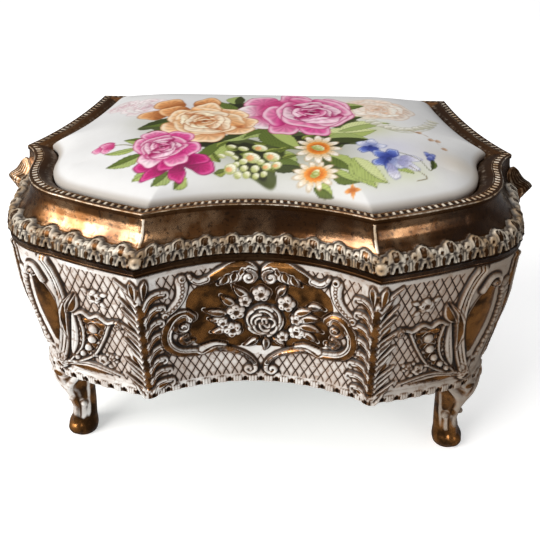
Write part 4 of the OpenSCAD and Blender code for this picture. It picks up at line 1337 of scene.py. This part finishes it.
def paint_great_rose(art):
    """The great rose: pale open petals on its left and a deep cup on its right."""
    for tone, *spot in [(PINK, 7.0, 17.6, 7.4, 4.6, 1.7), (PINK, -1.4, 15.2, 5.4, 5.0, 2.6),
                        (BLUSH, -3.2, 8.2, 4.8, 5.6, 3.3), (BLUSH, -1.2, 1.6, 4.8, 4.6, 4.0),
                        (PINK, 4.6, -1.4, 5.6, 4.0, 4.6), (MAGENTA, 12.0, -1.2, 6.2, 4.0, 4.9),
                        (PINK, 17.2, 5.0, 4.2, 6.2, 5.7), (PINK, 17.0, 14.4, 4.2, 5.4, 0.5)]:
        art.petal(*spot, PINK[1], tone[2], tone[3])
    art.petal(2.8, 6.6, 4.2, 7.2, 3.1, MAGENTA[1], PINK[2], PINK[3])
    art.rose(11.6, 8.6, 8.2, 9.4, *PINK, seed=14)


def paint_orange_rose(art):
    """The orange rose and its loose outer petals."""
    art.petals([(-30.0, 5.4, 3.8, 3.4, 3.2), (-26.6, 13.2, 4.4, 4.2, 2.3), (-16.6, 14.0, 4.8, 3.6, 1.5),
                (-24.6, 8.0, 4.2, 4.0, 2.8)], (0.62, 0.36, 0.18), ORANGE[1], ORANGE[2])
    art.petals([(-21.6, -3.6, 4.0, 5.6, 4.0), (-14.4, -7.6, 5.0, 4.4, 4.7), (-7.0, -3.6, 3.6, 3.8, 5.4),
                (-5.6, 0.8, 3.2, 3.6, 0.2), (-9.4, 6.2, 3.6, 4.6, 0.8), (-16.2, 9.0, 5.6, 4.0, 1.6),
                (-22.0, 4.6, 3.8, 5.2, 2.8)], ORANGE[0], ORANGE[2], ORANGE[3])
    art.rose(-15.8, 1.4, 7.6, 8.6, *ORANGE, seed=23)


def paint_left_flowers(art):
    """The magenta lily and the pink rose above it."""
    art.petals([(-26.0, -22.6, 3.8, 1.9, 3.4), (-24.2, -24.8, 3.8, 1.7, 3.8),
                (-19.2, -25.2, 2.8, 2.0, 4.8), (-14.2, -22.8, 3.6, 2.2, 6.1),
                (-15.8, -20.6, 3.6, 2.2, 0.2), (-21.6, -21.4, 3.6, 2.2, 4.4)], *MAGENTA[:3])
    for tone, *spot in [(PINK, -28.4, -13.6, 3.0, 4.2, 3.1), (PINK, -26.6, -9.0, 3.8, 3.2, 2.2),
                        (MAGENTA, -21.0, -9.4, 3.6, 3.6, 1.0), (MAGENTA, -18.4, -15.6, 3.4, 4.2, 0.0),
                        (PINK, -20.4, -20.0, 3.4, 3.0, 5.2), (BLUSH, -25.8, -19.8, 3.6, 3.0, 4.2)]:
        art.petal(*spot, MAGENTA[1], tone[2], PINK[3])
    art.rose(-24.2, -14.8, 4.6, 5.8, *PINK, seed=33)


# base and tip of the leaflets, then place and radius of the berries
LEAFLETS = [
    ((-11, -15), (-8.4, -11.4)), ((-6, -16.4), (-9, -13.6)), ((-2.4, -16.6), (-5.8, -18)),
    ((0.8, -12.8), (-2.8, -11.4)), ((3.6, -17), (6.4, -13.8)), ((-9.8, -21.4), (-11.6, -17.6)),
    ((-1, -21.4), (3.2, -23.8)), ((4.6, -19.4), (8.2, -18)), ((0.4, -17), (4.6, -15.4)),
    ((9, -9.6), (12.4, -6.6)), ((-8.2, -23.4), (-11, -24.6))]
BERRIES = [
    (-7.6, -14.4, .8), (-4.8, -15.4, .9), (-0.9, -14.8, 1.3), (-2.6, -19.1, 1.5), (2.1, -18.6, 1.4),
    (-4.4, -20.6, .9), (-7.9, -17.8, .9), (-9.6, -19.0, .7), (-5.9, -21.6, .7), (-7.2, -23.0, 1.3),
    (-4.1, -22.6, .8), (-1.6, -22.6, .9), (1.1, -21.9, 1.0), (3.4, -21.5, 1.0), (-3.4, -24.2, .8),
    (-1.3, -24.4, .7), (0.5, -23.9, .7), (-5.4, -24.4, .8), (-0.4, -20.6, .8), (-6.4, -19.4, .6)]


def paint_berries(art):
    """Cream berries on dark moss, with olive leaflets between them."""
    for base, tip in LEAFLETS:
        art.leaf(base, tip, 1.0, (0.40, 0.45, 0.18), (0.58, 0.62, 0.30), 0.12)
    for x, y, r in BERRIES:
        r, tall = 1.15 * r, r * 1.5 if y > -20 else r * 1.0
        art.petal(x, y, r, tall, 0.9, (0.70, 0.72, 0.44), (0.96, 0.95, 0.86), (0.99, 0.98, 0.92), 1.0,
                  0.2, 0.0)
        if r > 1.1:
            art.petal(x - 0.3, y - 0.2, 0.5 * r, 0.5 * tall, 0, (0.88, 0.60, 0.38), (0.94, 0.72, 0.52),
                      None, 0.9, 0.3, 0)


def paint_florets(art):
    """Blue and white florets with their stems."""
    for x, y, size, petals in [(25.4, -12.4, 3.6, [(0.2, 0), (1.4, 0), (2.6, 0), (3.9, 1), (5.2, 1)]),
                               (29.4, -17.8, 4.2, [(0.1, 0), (1.2, 1), (2.5, 1), (3.7, 1), (4.8, 1),
                                                   (5.7, 0)])]:
        for a, deep in petals:
            root, rim = DEEP_BLUE if deep else PALE_BLUE
            art.petal(x + 0.5 * size * math.cos(a), y + 0.62 * size * math.sin(a), 0.55 * size,
                      0.36 * size, a, root, rim, (0.80, 0.83, 0.93))
        art.petal(x, y, 0.14 * size, 0.18 * size, 0, (0.16, 0.2, 0.46), (0.2, 0.25, 0.5))
    for x, y, turn in ((33.8, -19.4, 5.9), (34.4, -16.6, 0.2), (30.0, -22.4, 5.0)):
        art.petal(x, y, 2.6, 1.3, turn, (0.62, 0.62, 0.78), (0.90, 0.89, 0.93), (0.95, 0.95, 0.97))
    art.stroke([(32.2, -14.5), (36.4, -16.4), (38.7, -19.9), (39.6, -18.4)], 0.3, (0.42, 0.42, 0.30))
    art.stroke([(34.1, -19.6), (37.7, -22.4), (36.8, -23.6), (35.3, -24.4)], 0.28, (0.48, 0.44, 0.32))
    for x, y, turn in ((39.0, -13.6, 1.9), (39.9, -13.8, 1.2), (39.4, -15.0, 1.5)):
        art.petal(x, y, 1.3, 0.8, turn, (0.28, 0.32, 0.60), (0.50, 0.54, 0.78), (0.72, 0.75, 0.88))
    art.leaf((39.8, -15.4), (39.2, -19.6), 0.8, MOSS, GREEN)


def paint_sprigs(art):
    """A pale sprig and a brown twig on the right."""
    line = through([(26.4, 2.4), (30.8, -1.6), (36.0, -2.4), (41.4, 2.0), (44.3, 9.2)])
    art.stroke([tuple(q) for q in line[::6]], 0.3, (0.62, 0.62, 0.46), 0.8)
    for x, y in line[2::4]:
        art.petal(x - 0.6, y + 1.9, 1.2, 1.6, 1.9, (0.74, 0.73, 0.64), (0.92, 0.91, 0.87),
                  (0.96, 0.95, 0.93), 0.9)
    art.stroke([(35.8, -1.0), (40.2, -3.0), (43.8, -7.6)], 0.3, (0.60, 0.48, 0.36), 0.8)
    for x, y in ((38.2, -1.6), (40.8, -4.6), (42.6, -4.4), (43.8, -8.0)):
        art.petal(x, y, 0.8, 0.7, 0.6, (0.62, 0.46, 0.34), (0.80, 0.66, 0.54), None, 0.8)
    for k in range(4):
        art.petal(20.6 + 0.8 * math.cos(1.6 * k), -29.0 + 0.5 * math.sin(1.6 * k), 0.9, 0.5, 1.6 * k,
                  (0.72, 0.40, 0.18), (0.90, 0.62, 0.36), None)


def paint_flowers():
    """The spray of roses and daisies across the plaque."""
    art = Painting(-60, 60, -34, 42, (0.885, 0.885, 0.885))
    haze(art, 46, -14, 8, 5, (0.80, 0.72, 0.60), 0.35)
    before = art.rgb.copy()
    art.rose(29.0, 13.0, 8.2, 6.5, *PEACH, seed=3)
    art.rose(-32.6, 12.6, 6.0, 5.6, *BLUSH, seed=4)
    art.rose(-40.5, 17.0, 4.0, 4.0, *BLUSH, seed=5)
    art.rgb = 0.9 * art.rgb + 0.1 * before
    paint_foliage(art)
    paint_great_rose(art)
    paint_orange_rose(art)
    paint_left_flowers(art)
    paint_berries(art)
    art.daisy(12.3, -24.3, 5.0, 3.5, 12, 0.2)
    art.daisy(12.9, -14.2, 5.3, 6.9, 12)
    paint_florets(art)
    paint_sprigs(art)
    return art


GLAZE_WHITE, GAMMA = 0.80, 2.2
PLAQUE_COUNT, PAD_COUNT, FELT_COUNT = 305, 97, 121


def crown_height(s):
    """Height over the rim at a share of the way from the crown's middle to its edge."""
    return (Z_CROWN - Z_RIM + 0.2) * (1 - s ** 6.5) - 0.2


MIDDLE = np.array((0, SIDE_Y + 1.6))


def square_map(count, keys):
    """A square grid pulled out to a plan: its points, their shares of the way out, and its edge."""
    line = np.linspace(-1, 1, count)
    a, b = np.meshgrid(line, line)
    s = np.maximum(np.abs(a), np.abs(b))
    safe = np.maximum(s, 1e-9)
    a, b = a / safe, b / safe
    corner = arc_at(2.5)
    rear = ARC_END - ARC_BACK
    arc = np.select(
        [b <= -1 + 1e-9, a >= 1 - 1e-9, b >= 1 - 1e-9],
        [a * corner, mix(corner, ARC_BACK, (b + 1) / 2), np.sign(a + 1e-12) * (ARC_END - np.abs(a) * rear)],
        -mix(corner, ARC_BACK, (b + 1) / 2))
    out = plan(keys, t_at(arc.ravel())).reshape(count, count, 2)
    xy = MIDDLE + (out - MIDDLE) * s[..., None]
    return xy, s, xy.reshape(-1, 2)[rim_loop(count)]


def rim_loop(count):
    """Point numbers round the edge of a square grid, anticlockwise."""
    n = np.arange(count * count).reshape(count, count)
    return np.concatenate([n[0, :-1], n[:-1, -1], n[-1, :0:-1], n[:0:-1, 0]])


def closed_cap(xy, z_top, loops):
    """Points and faces of a domed slab: the top grid, then rings down its side and under it."""
    count = xy.shape[0]
    verts = [np.dstack([xy, z_top]).reshape(-1, 3)]
    quads = [grid_quads(count, count)]
    ring = rim_loop(count)
    start = count * count
    for loop in loops:
        verts.append(loop)
        new = np.arange(start, start + len(loop))
        quads.append(np.stack([new, np.roll(new, -1), np.roll(ring, -1), ring], 1))
        ring = new
        start += len(loop)
    return np.concatenate(verts), np.concatenate(quads)


def make_plaque():
    """The domed porcelain plaque, with its painting on its points."""
    xy, s, edge = square_map(PLAQUE_COUNT, PLAQUE)
    weight = step_up(1 - s, 0.0, 0.22)
    z = crown_height(s)
    z = Z_RIM + mix(z, blur(z, 18), weight)
    # the plan's points would crease the dome, so the grid is eased inside the edge
    for k in (0, 1):
        xy[..., k] = mix(xy[..., k], blur(xy[..., k], 16), weight)
    z[s > 1 - 1e-6] = Z_RIM - 0.35
    under = MIDDLE + (edge - MIDDLE) * 0.93
    loops = [level(edge, Z_SEAT + 0.4), level(mix(edge, under, 0.3), Z_SEAT)]
    verts, quads = closed_cap(xy, z, loops)
    art = paint_flowers()
    i = np.clip((verts[:, 1] - art.y0) / art.PITCH, 0, art.rgb.shape[0] - 2)
    j = np.clip((verts[:, 0] - art.x0) / art.PITCH, 0, art.rgb.shape[1] - 2)
    colour = sampled(art.rgb, i, j)
    out = np.r_[s.ravel(), np.ones(len(verts) - s.size)]
    soil = step_up(out, 0.965, 1.0)[:, None] * 0.4
    colour = mix(colour, np.array((0.45, 0.38, 0.30)), soil)
    colour[s.size:] = (0.9, 0.89, 0.87)
    ob = add_mesh("painted_plaque", verts, quads, GLAZE_WHITE * np.clip(colour, 0, 1) ** GAMMA)
    return settle(ob, "porcelain", "lid", "porcelain_plaque")


# ---------------------------------------------------------------- feet
FOOT_LEVELS = np.array([
    (0, 0.6, 3.5), (0.03, 0.7, 4.1), (0.1, 0.7, 4.2), (0.16, 0.2, 3.5), (0.35, -0.3, 3.3), (0.55, 0, 3.9),
    (0.75, 0.6, 5.0), (0.92, 0.5, 5.8), (1, 0, 6)])
FOOT_GIRTH = 24.0
# the tops of the right-hand legs, and the room that the base felt leaves round each
FOOT_TOPS, FOOT_ROOM = ((49.8, -19.8), (44, 29.4)), 8


def foot_design(tall):
    """Relief round a leg: u runs round it with 0 at the outward edge, and v climbs it."""
    art = Relief(-FOOT_GIRTH / 2, FOOT_GIRTH / 2, 0, tall)
    out = np.abs(art.u)
    wash = 0.95 * bell(out, 2.3, 1.25) * (1 - 0.5 * step_up(art.v, 4, 13))
    rim = 0.75 * bell(out - 6.4 + 0.12 * (26 - art.v), 0, 0.8)
    art.tone += 1 - np.maximum(wash, rim) * step_up(art.v, 3.4, 7.5)
    art.tone -= 0.62 * bell(out, 0, 0.9) * step_up(art.v, 4, 8)
    art.height += 0.95 * bell(out, 0, 1.15) * step_up(art.v, 1.5, 5) * (1 - 0.6 * step_up(art.v, 16, 22))
    art.height -= 0.35 * bell(out, 4.0, 1.5) * step_up(art.v, 5, 9)
    for side in (-1, 1):
        art.curve([(0.3, 14.5), (0.9, 18.6), (2.8, 22.4), (5.0, 25.6)], 0.7, 0.9, 0.8, 0.42, -1, rim=0.6,
                  side=side)
        art.stroke(spiral((side * 5.2, 25.0), 1.7, 0.4, 90, 1.1 * side), 0.6, 0.5, 1.0, 0.5, 0.5)
        art.dot((side * 2.9, 11.2), 0.95, 1.0, 0.38, 0.4)
    art.dot((0, 24.6), 1.5, 0.9, 0.9, 0.6)
    art.dot((0, 2.8), 2.3, 0.7, 1.0, -1, 2.5, 0.9)
    art.finish()
    art.tone, art.grime_and_shade = blur(art.tone, 3), 0.8 * blur(art.grime_and_shade, 1)
    # painted shade: dark lines beside the ridge stand in for the shading of its sides
    cut = 0.85 * bell(out, 1.5, 0.3) * step_up(art.v, 4, 7) * (1 - step_up(art.v, 16, 19))
    art.grime_and_shade = np.maximum(art.grime_and_shade, cut)
    return art


def make_foot(node, art, outward):
    """A cabriole leg, lofted like its CAD solid and dressed with the relief."""
    low, high = span(node)
    tall = high[2] - low[2]
    around, levels = 96, 96
    lean = np.array(outward, float)
    shares = np.linspace(0, 1, levels)
    smooth = [np.interp(shares, FOOT_LEVELS[:, 0], FOOT_LEVELS[:, k]) for k in (1, 2)]
    wide = [np.convolve(np.pad(line, 3, mode="edge"), np.ones(7) / 7, "valid") for line in smooth]
    # the relief's middle is turned a little towards the front, as in the photograph
    face = math.atan2(lean[1], 0.5 * lean[0])
    angle = np.linspace(-math.pi, math.pi, around, endpoint=False)
    base = np.zeros((levels, around, 3))
    # the leg's axis lies inside the CAD box's high side by the most that any level reaches
    top = high[:2] - np.max(FOOT_LEVELS[:, 1:2] * lean + FOOT_LEVELS[:, 2:3], axis=0)
    for i, share in enumerate(shares):
        r, away = wide[1][i], wide[0][i]
        base[i, :, 0] = top[0] + lean[0] * away + r * np.cos(angle + face)
        base[i, :, 1] = top[1] + lean[1] * away + r * np.sin(angle + face)
        base[i, :, 2] = low[2] + share * tall
    normals = grid_normals(base)
    u = np.broadcast_to(angle / (2 * math.pi) * FOOT_GIRTH, (levels, around))
    v = np.broadcast_to((shares * tall)[:, None], (levels, around))
    height, tone, grime_and_shade, wear_and_highlight = art.sample(u, v)[:4]
    fade = step_up(v, 0.05, 0.8) * (1 - step_up(v, tall - 0.5, tall))
    outer = base + normals * (height * fade)[..., None]
    caps = []
    for end in (outer[0], outer[-1]):
        mid = end.mean(0)
        caps.append(np.stack([mix(end, mid, 0.1), mix(end, mid, 0.2)]))
    rings = np.concatenate([caps[0][::-1], outer, caps[1]])
    masks = np.zeros((len(rings), around, 3))
    masks[..., 0] = 1
    masks[2:-2] = np.stack([tone, grime_and_shade, wear_and_highlight], -1)
    ob = add_grid("cast_" + node, rings, masks)
    return settle(ob, "foot_casting", "box", node)


# ---------------------------------------------------------------- velvet and felt
LINING_OUT = mix(BODY_INSIDE, WINDOW, 0.04)
LINING_IN = mix(BODY_INSIDE, WINDOW, 0.04 + 2 / 7)


def soft_waves(x, y, size, seed):
    """A slow unevenness from -1 to 1 for cloth drawn over wadding."""
    pick = np.random.default_rng(seed)
    total = np.zeros(np.broadcast(x, y).shape)
    for _ in range(9):
        a, phase = pick.random() * 2 * math.pi, pick.random() * 6.28
        k = 2 * math.pi / (size * (0.6 + pick.random()))
        total += np.sin(k * (x * math.cos(a) + y * math.sin(a)) + phase)
    return total / 6


def make_panel(name, node, arc_a, arc_b, seed):
    """A padded velvet wall panel: full in its middle, drawn in at its sewn ends, rolled at its top."""
    low, high = span(node)
    columns_n, rows_n = max(24, round((arc_b - arc_a) / 0.9)), 44
    arcs = np.linspace(arc_a, arc_b, columns_n)
    arcs_in = np.where(arcs > ARC_END, arcs - 2 * ARC_END, arcs)
    t = t_at(arcs_in)
    back, front = plan(LINING_OUT, t), plan(LINING_IN, t)
    across = np.linspace(-1, 1, columns_n)[None, :]
    up = np.linspace(0, 1, rows_n)[:, None]
    end = dome(np.abs(across), 14)
    foot = dome(1 - np.clip(up / 0.07, 0, 1))
    head = dome(1 - np.clip((1 - up) / 0.05, 0, 1))
    seam = 0.45 * bell(up, 0.9, 0.016)
    body = 0.72 + 0.20 * np.sin(math.pi * np.clip(up / 0.9, 0, 1)) + 0.10 * (up > 0.9)
    waves = 0.05 * soft_waves(arcs[None, :], up * (high[2] - low[2]), 16, seed)
    pull = 0.05 * np.sin(arcs[None, :] * 2 * math.pi / 3.1) * bell(up, 0.9, 0.05)
    share = np.clip((body + waves + pull - seam) * end * foot * head, 0.02, 1.0)
    face = back[None] + (front - back)[None] * share[..., None]
    z = np.broadcast_to(low[2] + up * (high[2] - low[2]), share.shape)
    face = np.dstack([face, z])
    rear = np.dstack([np.broadcast_to(back[None], (rows_n, columns_n, 2)), z])
    loop = np.concatenate([face, rear[::-1]])
    ends = loop.mean(0, keepdims=True)
    shut = [np.broadcast_to(ends[:, [k]], loop[:, :1].shape) for k in (0, -1)]
    loop = np.concatenate([shut[0], loop, shut[1]], 1)
    ob = add_grid(name, loop, wrap_rows=True, wrap_cols=False, flip=True)
    settle(ob, "velvet", "box", node)
    return ob


CLOTH_SCALE, CLOTH_FRAMES = 10, 26


def blow_up(ob, pinned, pressure):
    """Fills a cloth case by simulation, at ten times its size, and keeps the result."""
    scene = bpy.context.scene
    mesh = ob.data
    mesh.vertices.foreach_set("co", mesh_points(mesh).ravel() * CLOTH_SCALE)
    group = ob.vertex_groups.new(name="sewn")
    group.add([int(i) for i in pinned], 1.0, "REPLACE")
    cloth = ob.modifiers.new("cloth", "CLOTH")
    cloth.settings.quality = 5
    cloth.settings.mass = 0.002
    cloth.settings.tension_stiffness = cloth.settings.compression_stiffness = 12
    cloth.settings.bending_stiffness = 0.6
    cloth.settings.use_pressure = True
    cloth.settings.uniform_pressure_force = pressure
    cloth.settings.vertex_group_mass = "sewn"
    cloth.settings.effector_weights.gravity = 0.02
    cloth.point_cache.frame_start, cloth.point_cache.frame_end = 1, CLOTH_FRAMES
    for step in range(1, CLOTH_FRAMES + 1):
        scene.frame_set(step)
    found = ob.evaluated_get(bpy.context.evaluated_depsgraph_get()).to_mesh()
    done = mesh_points(found).ravel()
    ob.modifiers.remove(cloth)
    scene.frame_set(1)
    mesh.vertices.foreach_set("co", done / CLOTH_SCALE)
    mesh.update()


def make_pad(name, node, keys, body, downwards, pressure, seed):
    """A velvet pad sewn to a board: the case is filled by cloth simulation."""
    low, high = span(node)
    count = PAD_COUNT
    xy, s, edge = square_map(count, keys)
    thick = high[2] - low[2]
    start = 0.62 * thick * dome(s, 10) + 0.16 * thick
    start += 0.03 * thick * soft_waves(xy[..., 0], xy[..., 1], 18, seed)
    inner = MIDDLE + (edge - MIDDLE) * 0.985
    loops = [level(edge, 0.08 * thick), level(inner, 0)]
    verts, quads = closed_cap(xy, start, loops)
    ob = add_mesh(name, verts, quads)
    blow_up(ob, np.r_[rim_loop(count), np.arange(count * count, len(verts))], pressure)
    verts = mesh_points(ob.data) / MM
    top = np.percentile(verts[:count * count, 2], 99)
    z = np.clip(verts[:, 2] / top, 0, 1.04) * 0.96 * thick
    z[count * count:] = np.clip(z[count * count:], 0, 0.1 * thick)
    verts = np.c_[verts[:, :2], high[2] - z if downwards else low[2] + z]
    ob.data.vertices.foreach_set("co", (verts * MM).ravel())
    if downwards:
        ob.data.flip_normals()
    ob.data.update()
    settle(ob, "velvet", body, node)
    return ob


def make_felt(name, node, keys, slot, body, holes=()):
    """A thin felt with a slightly uneven nap, cut round each hole."""
    low, high = span(node)
    count = FELT_COUNT
    xy, s, edge = square_map(count, keys)
    nap = 0.05 * soft_waves(xy[..., 0], xy[..., 1], 5, 40)
    loops = [level(edge, low[2] + 0.1), level(mix(edge, MIDDLE, 0.01), low[2])]
    verts, quads = closed_cap(xy, high[2] - 0.08 - 0.08 * s ** 20 + nap * (s < 1), loops)
    below = verts[count * count:]
    below[:, 2] += 0.04 * np.sin(below[:, 0] * 2.1) * np.cos(below[:, 1] * 1.7)
    for x, y, reach in holes:
        away = verts[:, :2] - (x, y)
        dist = np.maximum(np.linalg.norm(away, axis=1), 1e-6)
        near = dist < reach
        verts[near, :2] = np.array((x, y)) + away[near] / dist[near, None] * reach
    ob = add_mesh(name, verts, quads)
    settle(ob, slot, body, node)
    return ob


# ---------------------------------------------------------------- build
make_body()
make_lid_frame()
for side, name in ((-1, "left"), (1, "right")):
    make_crest(side, "curled_crest_" + name, "side_crest_" + name)
make_plaque()
foot_art = foot_design(BODY_LOW[2])
for place, back in (("front", -1), ("rear", 1)):
    for name, side in (("left", -1), ("right", 1)):
        make_foot("foot_%s_%s" % (place, name), foot_art, (side, back))

for name, node, a, b in [
        ("velvet_wall_front", "lining_front", -ARC_FRONT, ARC_FRONT),
        ("velvet_wall_front_right", "lining_front_right", ARC_FRONT, ARC_SIDE),
        ("velvet_wall_front_left", "lining_front_left", -ARC_SIDE, -ARC_FRONT),
        ("velvet_wall_side_right", "lining_side_right", ARC_SIDE, ARC_BACK),
        ("velvet_wall_side_left", "lining_side_left", -ARC_BACK, -ARC_SIDE),
        ("velvet_wall_back", "lining_back", ARC_BACK, 2 * ARC_END - ARC_BACK)]:
    make_panel(name, node, a, b, seed=len(name))
make_pad("velvet_floor_pad", "floor_pad", LINING_IN, "box", False, 14, 3)
make_pad("velvet_lid_pad", "lid_lining", mix(LID_INSIDE, WINDOW, 0.08), "lid", True, 18, 4)
FOOT_HOLES = [(side * x, y + SIDE_Y, FOOT_ROOM) for side in (-1, 1) for x, y in FOOT_TOPS]
make_felt("green_base_felt", "base_felt", mix(BODY_INSIDE, WINDOW, 0.5), "felt", "box", FOOT_HOLES)
make_felt("bedding_felt", "plaque_bedding", mix(WINDOW, PLAQUE, -0.08), "bedding", "lid")

KEPT = {"base_plate": "plate_steel", "foot_screws": "steel", "floor_board": "card",
        "hinge_body_leaf": "hinge_brass", "hinge_pin": "steel", "hinge_lid_leaf": "hinge_brass",
        "lid_backing_plate": "plate_steel", "plaque_tabs": "hinge_brass"}
for node, finish in KEPT.items():
    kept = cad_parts[node]
    kept.data.materials.clear()
    kept.data.materials.append(FINISH[finish])
    rounded = kept.modifiers.new("edge", "BEVEL")
    rounded.width, rounded.segments, rounded.limit_method = 0.00012, 2, "ANGLE"
    rounded.angle_limit = math.radians(40)

# ---------------------------------------------------------------- floor, light and camera
floor = bpy.data.meshes.new("floor")
floor.from_pydata([(-3, -3, 0), (3, -3, 0), (3, 3, 0), (-3, 3, 0)], [], [(0, 1, 2, 3)])
floor_ob = bpy.data.objects.new("floor", floor)
bpy.context.scene.collection.objects.link(floor_ob)
floor_ob.visible_glossy = False
floor.materials.append(plain_finish("pale_floor", (0.86, 0.86, 0.86), (0.88, 0.88, 0.88), 3, 0.6, depth=0.0,
                                    Emission_Color=(1, 1, 1, 1), Emission_Strength=0.45))


def soft_light(name, at, target, size, watts, colour=(1, 1, 1)):
    """A broad lamp at a place, facing a target."""
    data = bpy.data.lights.new(name, "AREA")
    data.shape, data.size, data.size_y = "RECTANGLE", size[0], size[1]
    data.energy, data.color = watts, colour
    ob = bpy.data.objects.new(name, data)
    ob.location = at
    way = np.array(target, float) - np.array(at, float)
    ob.rotation_euler = (math.atan2(math.hypot(way[0], way[1]), -way[2]), 0,
                         math.atan2(way[1], way[0]) - math.pi / 2)
    bpy.context.scene.collection.objects.link(ob)


soft_light("window", (-0.80, -0.55, 0.62), (0, 0, 0.07), (0.84, 0.84), 17.5, (1.0, 0.98, 0.95))
soft_light("fill", (0.50, -0.50, 0.22), (0, 0, 0.07), (0.16, 0.16), 0.3, (1.0, 0.95, 0.88))
soft_light("top", (0.0, 0.10, 0.95), (0, 0, 0.06), (0.9, 0.9), 4.6)

world = bpy.data.worlds.new("studio")
bpy.context.scene.world = world
world.use_nodes = True
world.node_tree.nodes["Background"].inputs["Color"].default_value = (0.97, 0.97, 1.0, 1)
world.node_tree.nodes["Background"].inputs["Strength"].default_value = 0.15

camera = bpy.data.cameras.new("camera")
camera.lens, camera.sensor_width = 50, 36
camera_ob = bpy.data.objects.new("camera", camera)
camera_ob.location = (0.0093, -0.17985, 0.1558)
camera_ob.rotation_euler = (math.radians(90 - 32.5), 0, math.radians(2.7))
bpy.context.scene.collection.objects.link(camera_ob)
bpy.context.scene.camera = camera_ob
bpy.context.scene.view_settings.view_transform = "Standard"
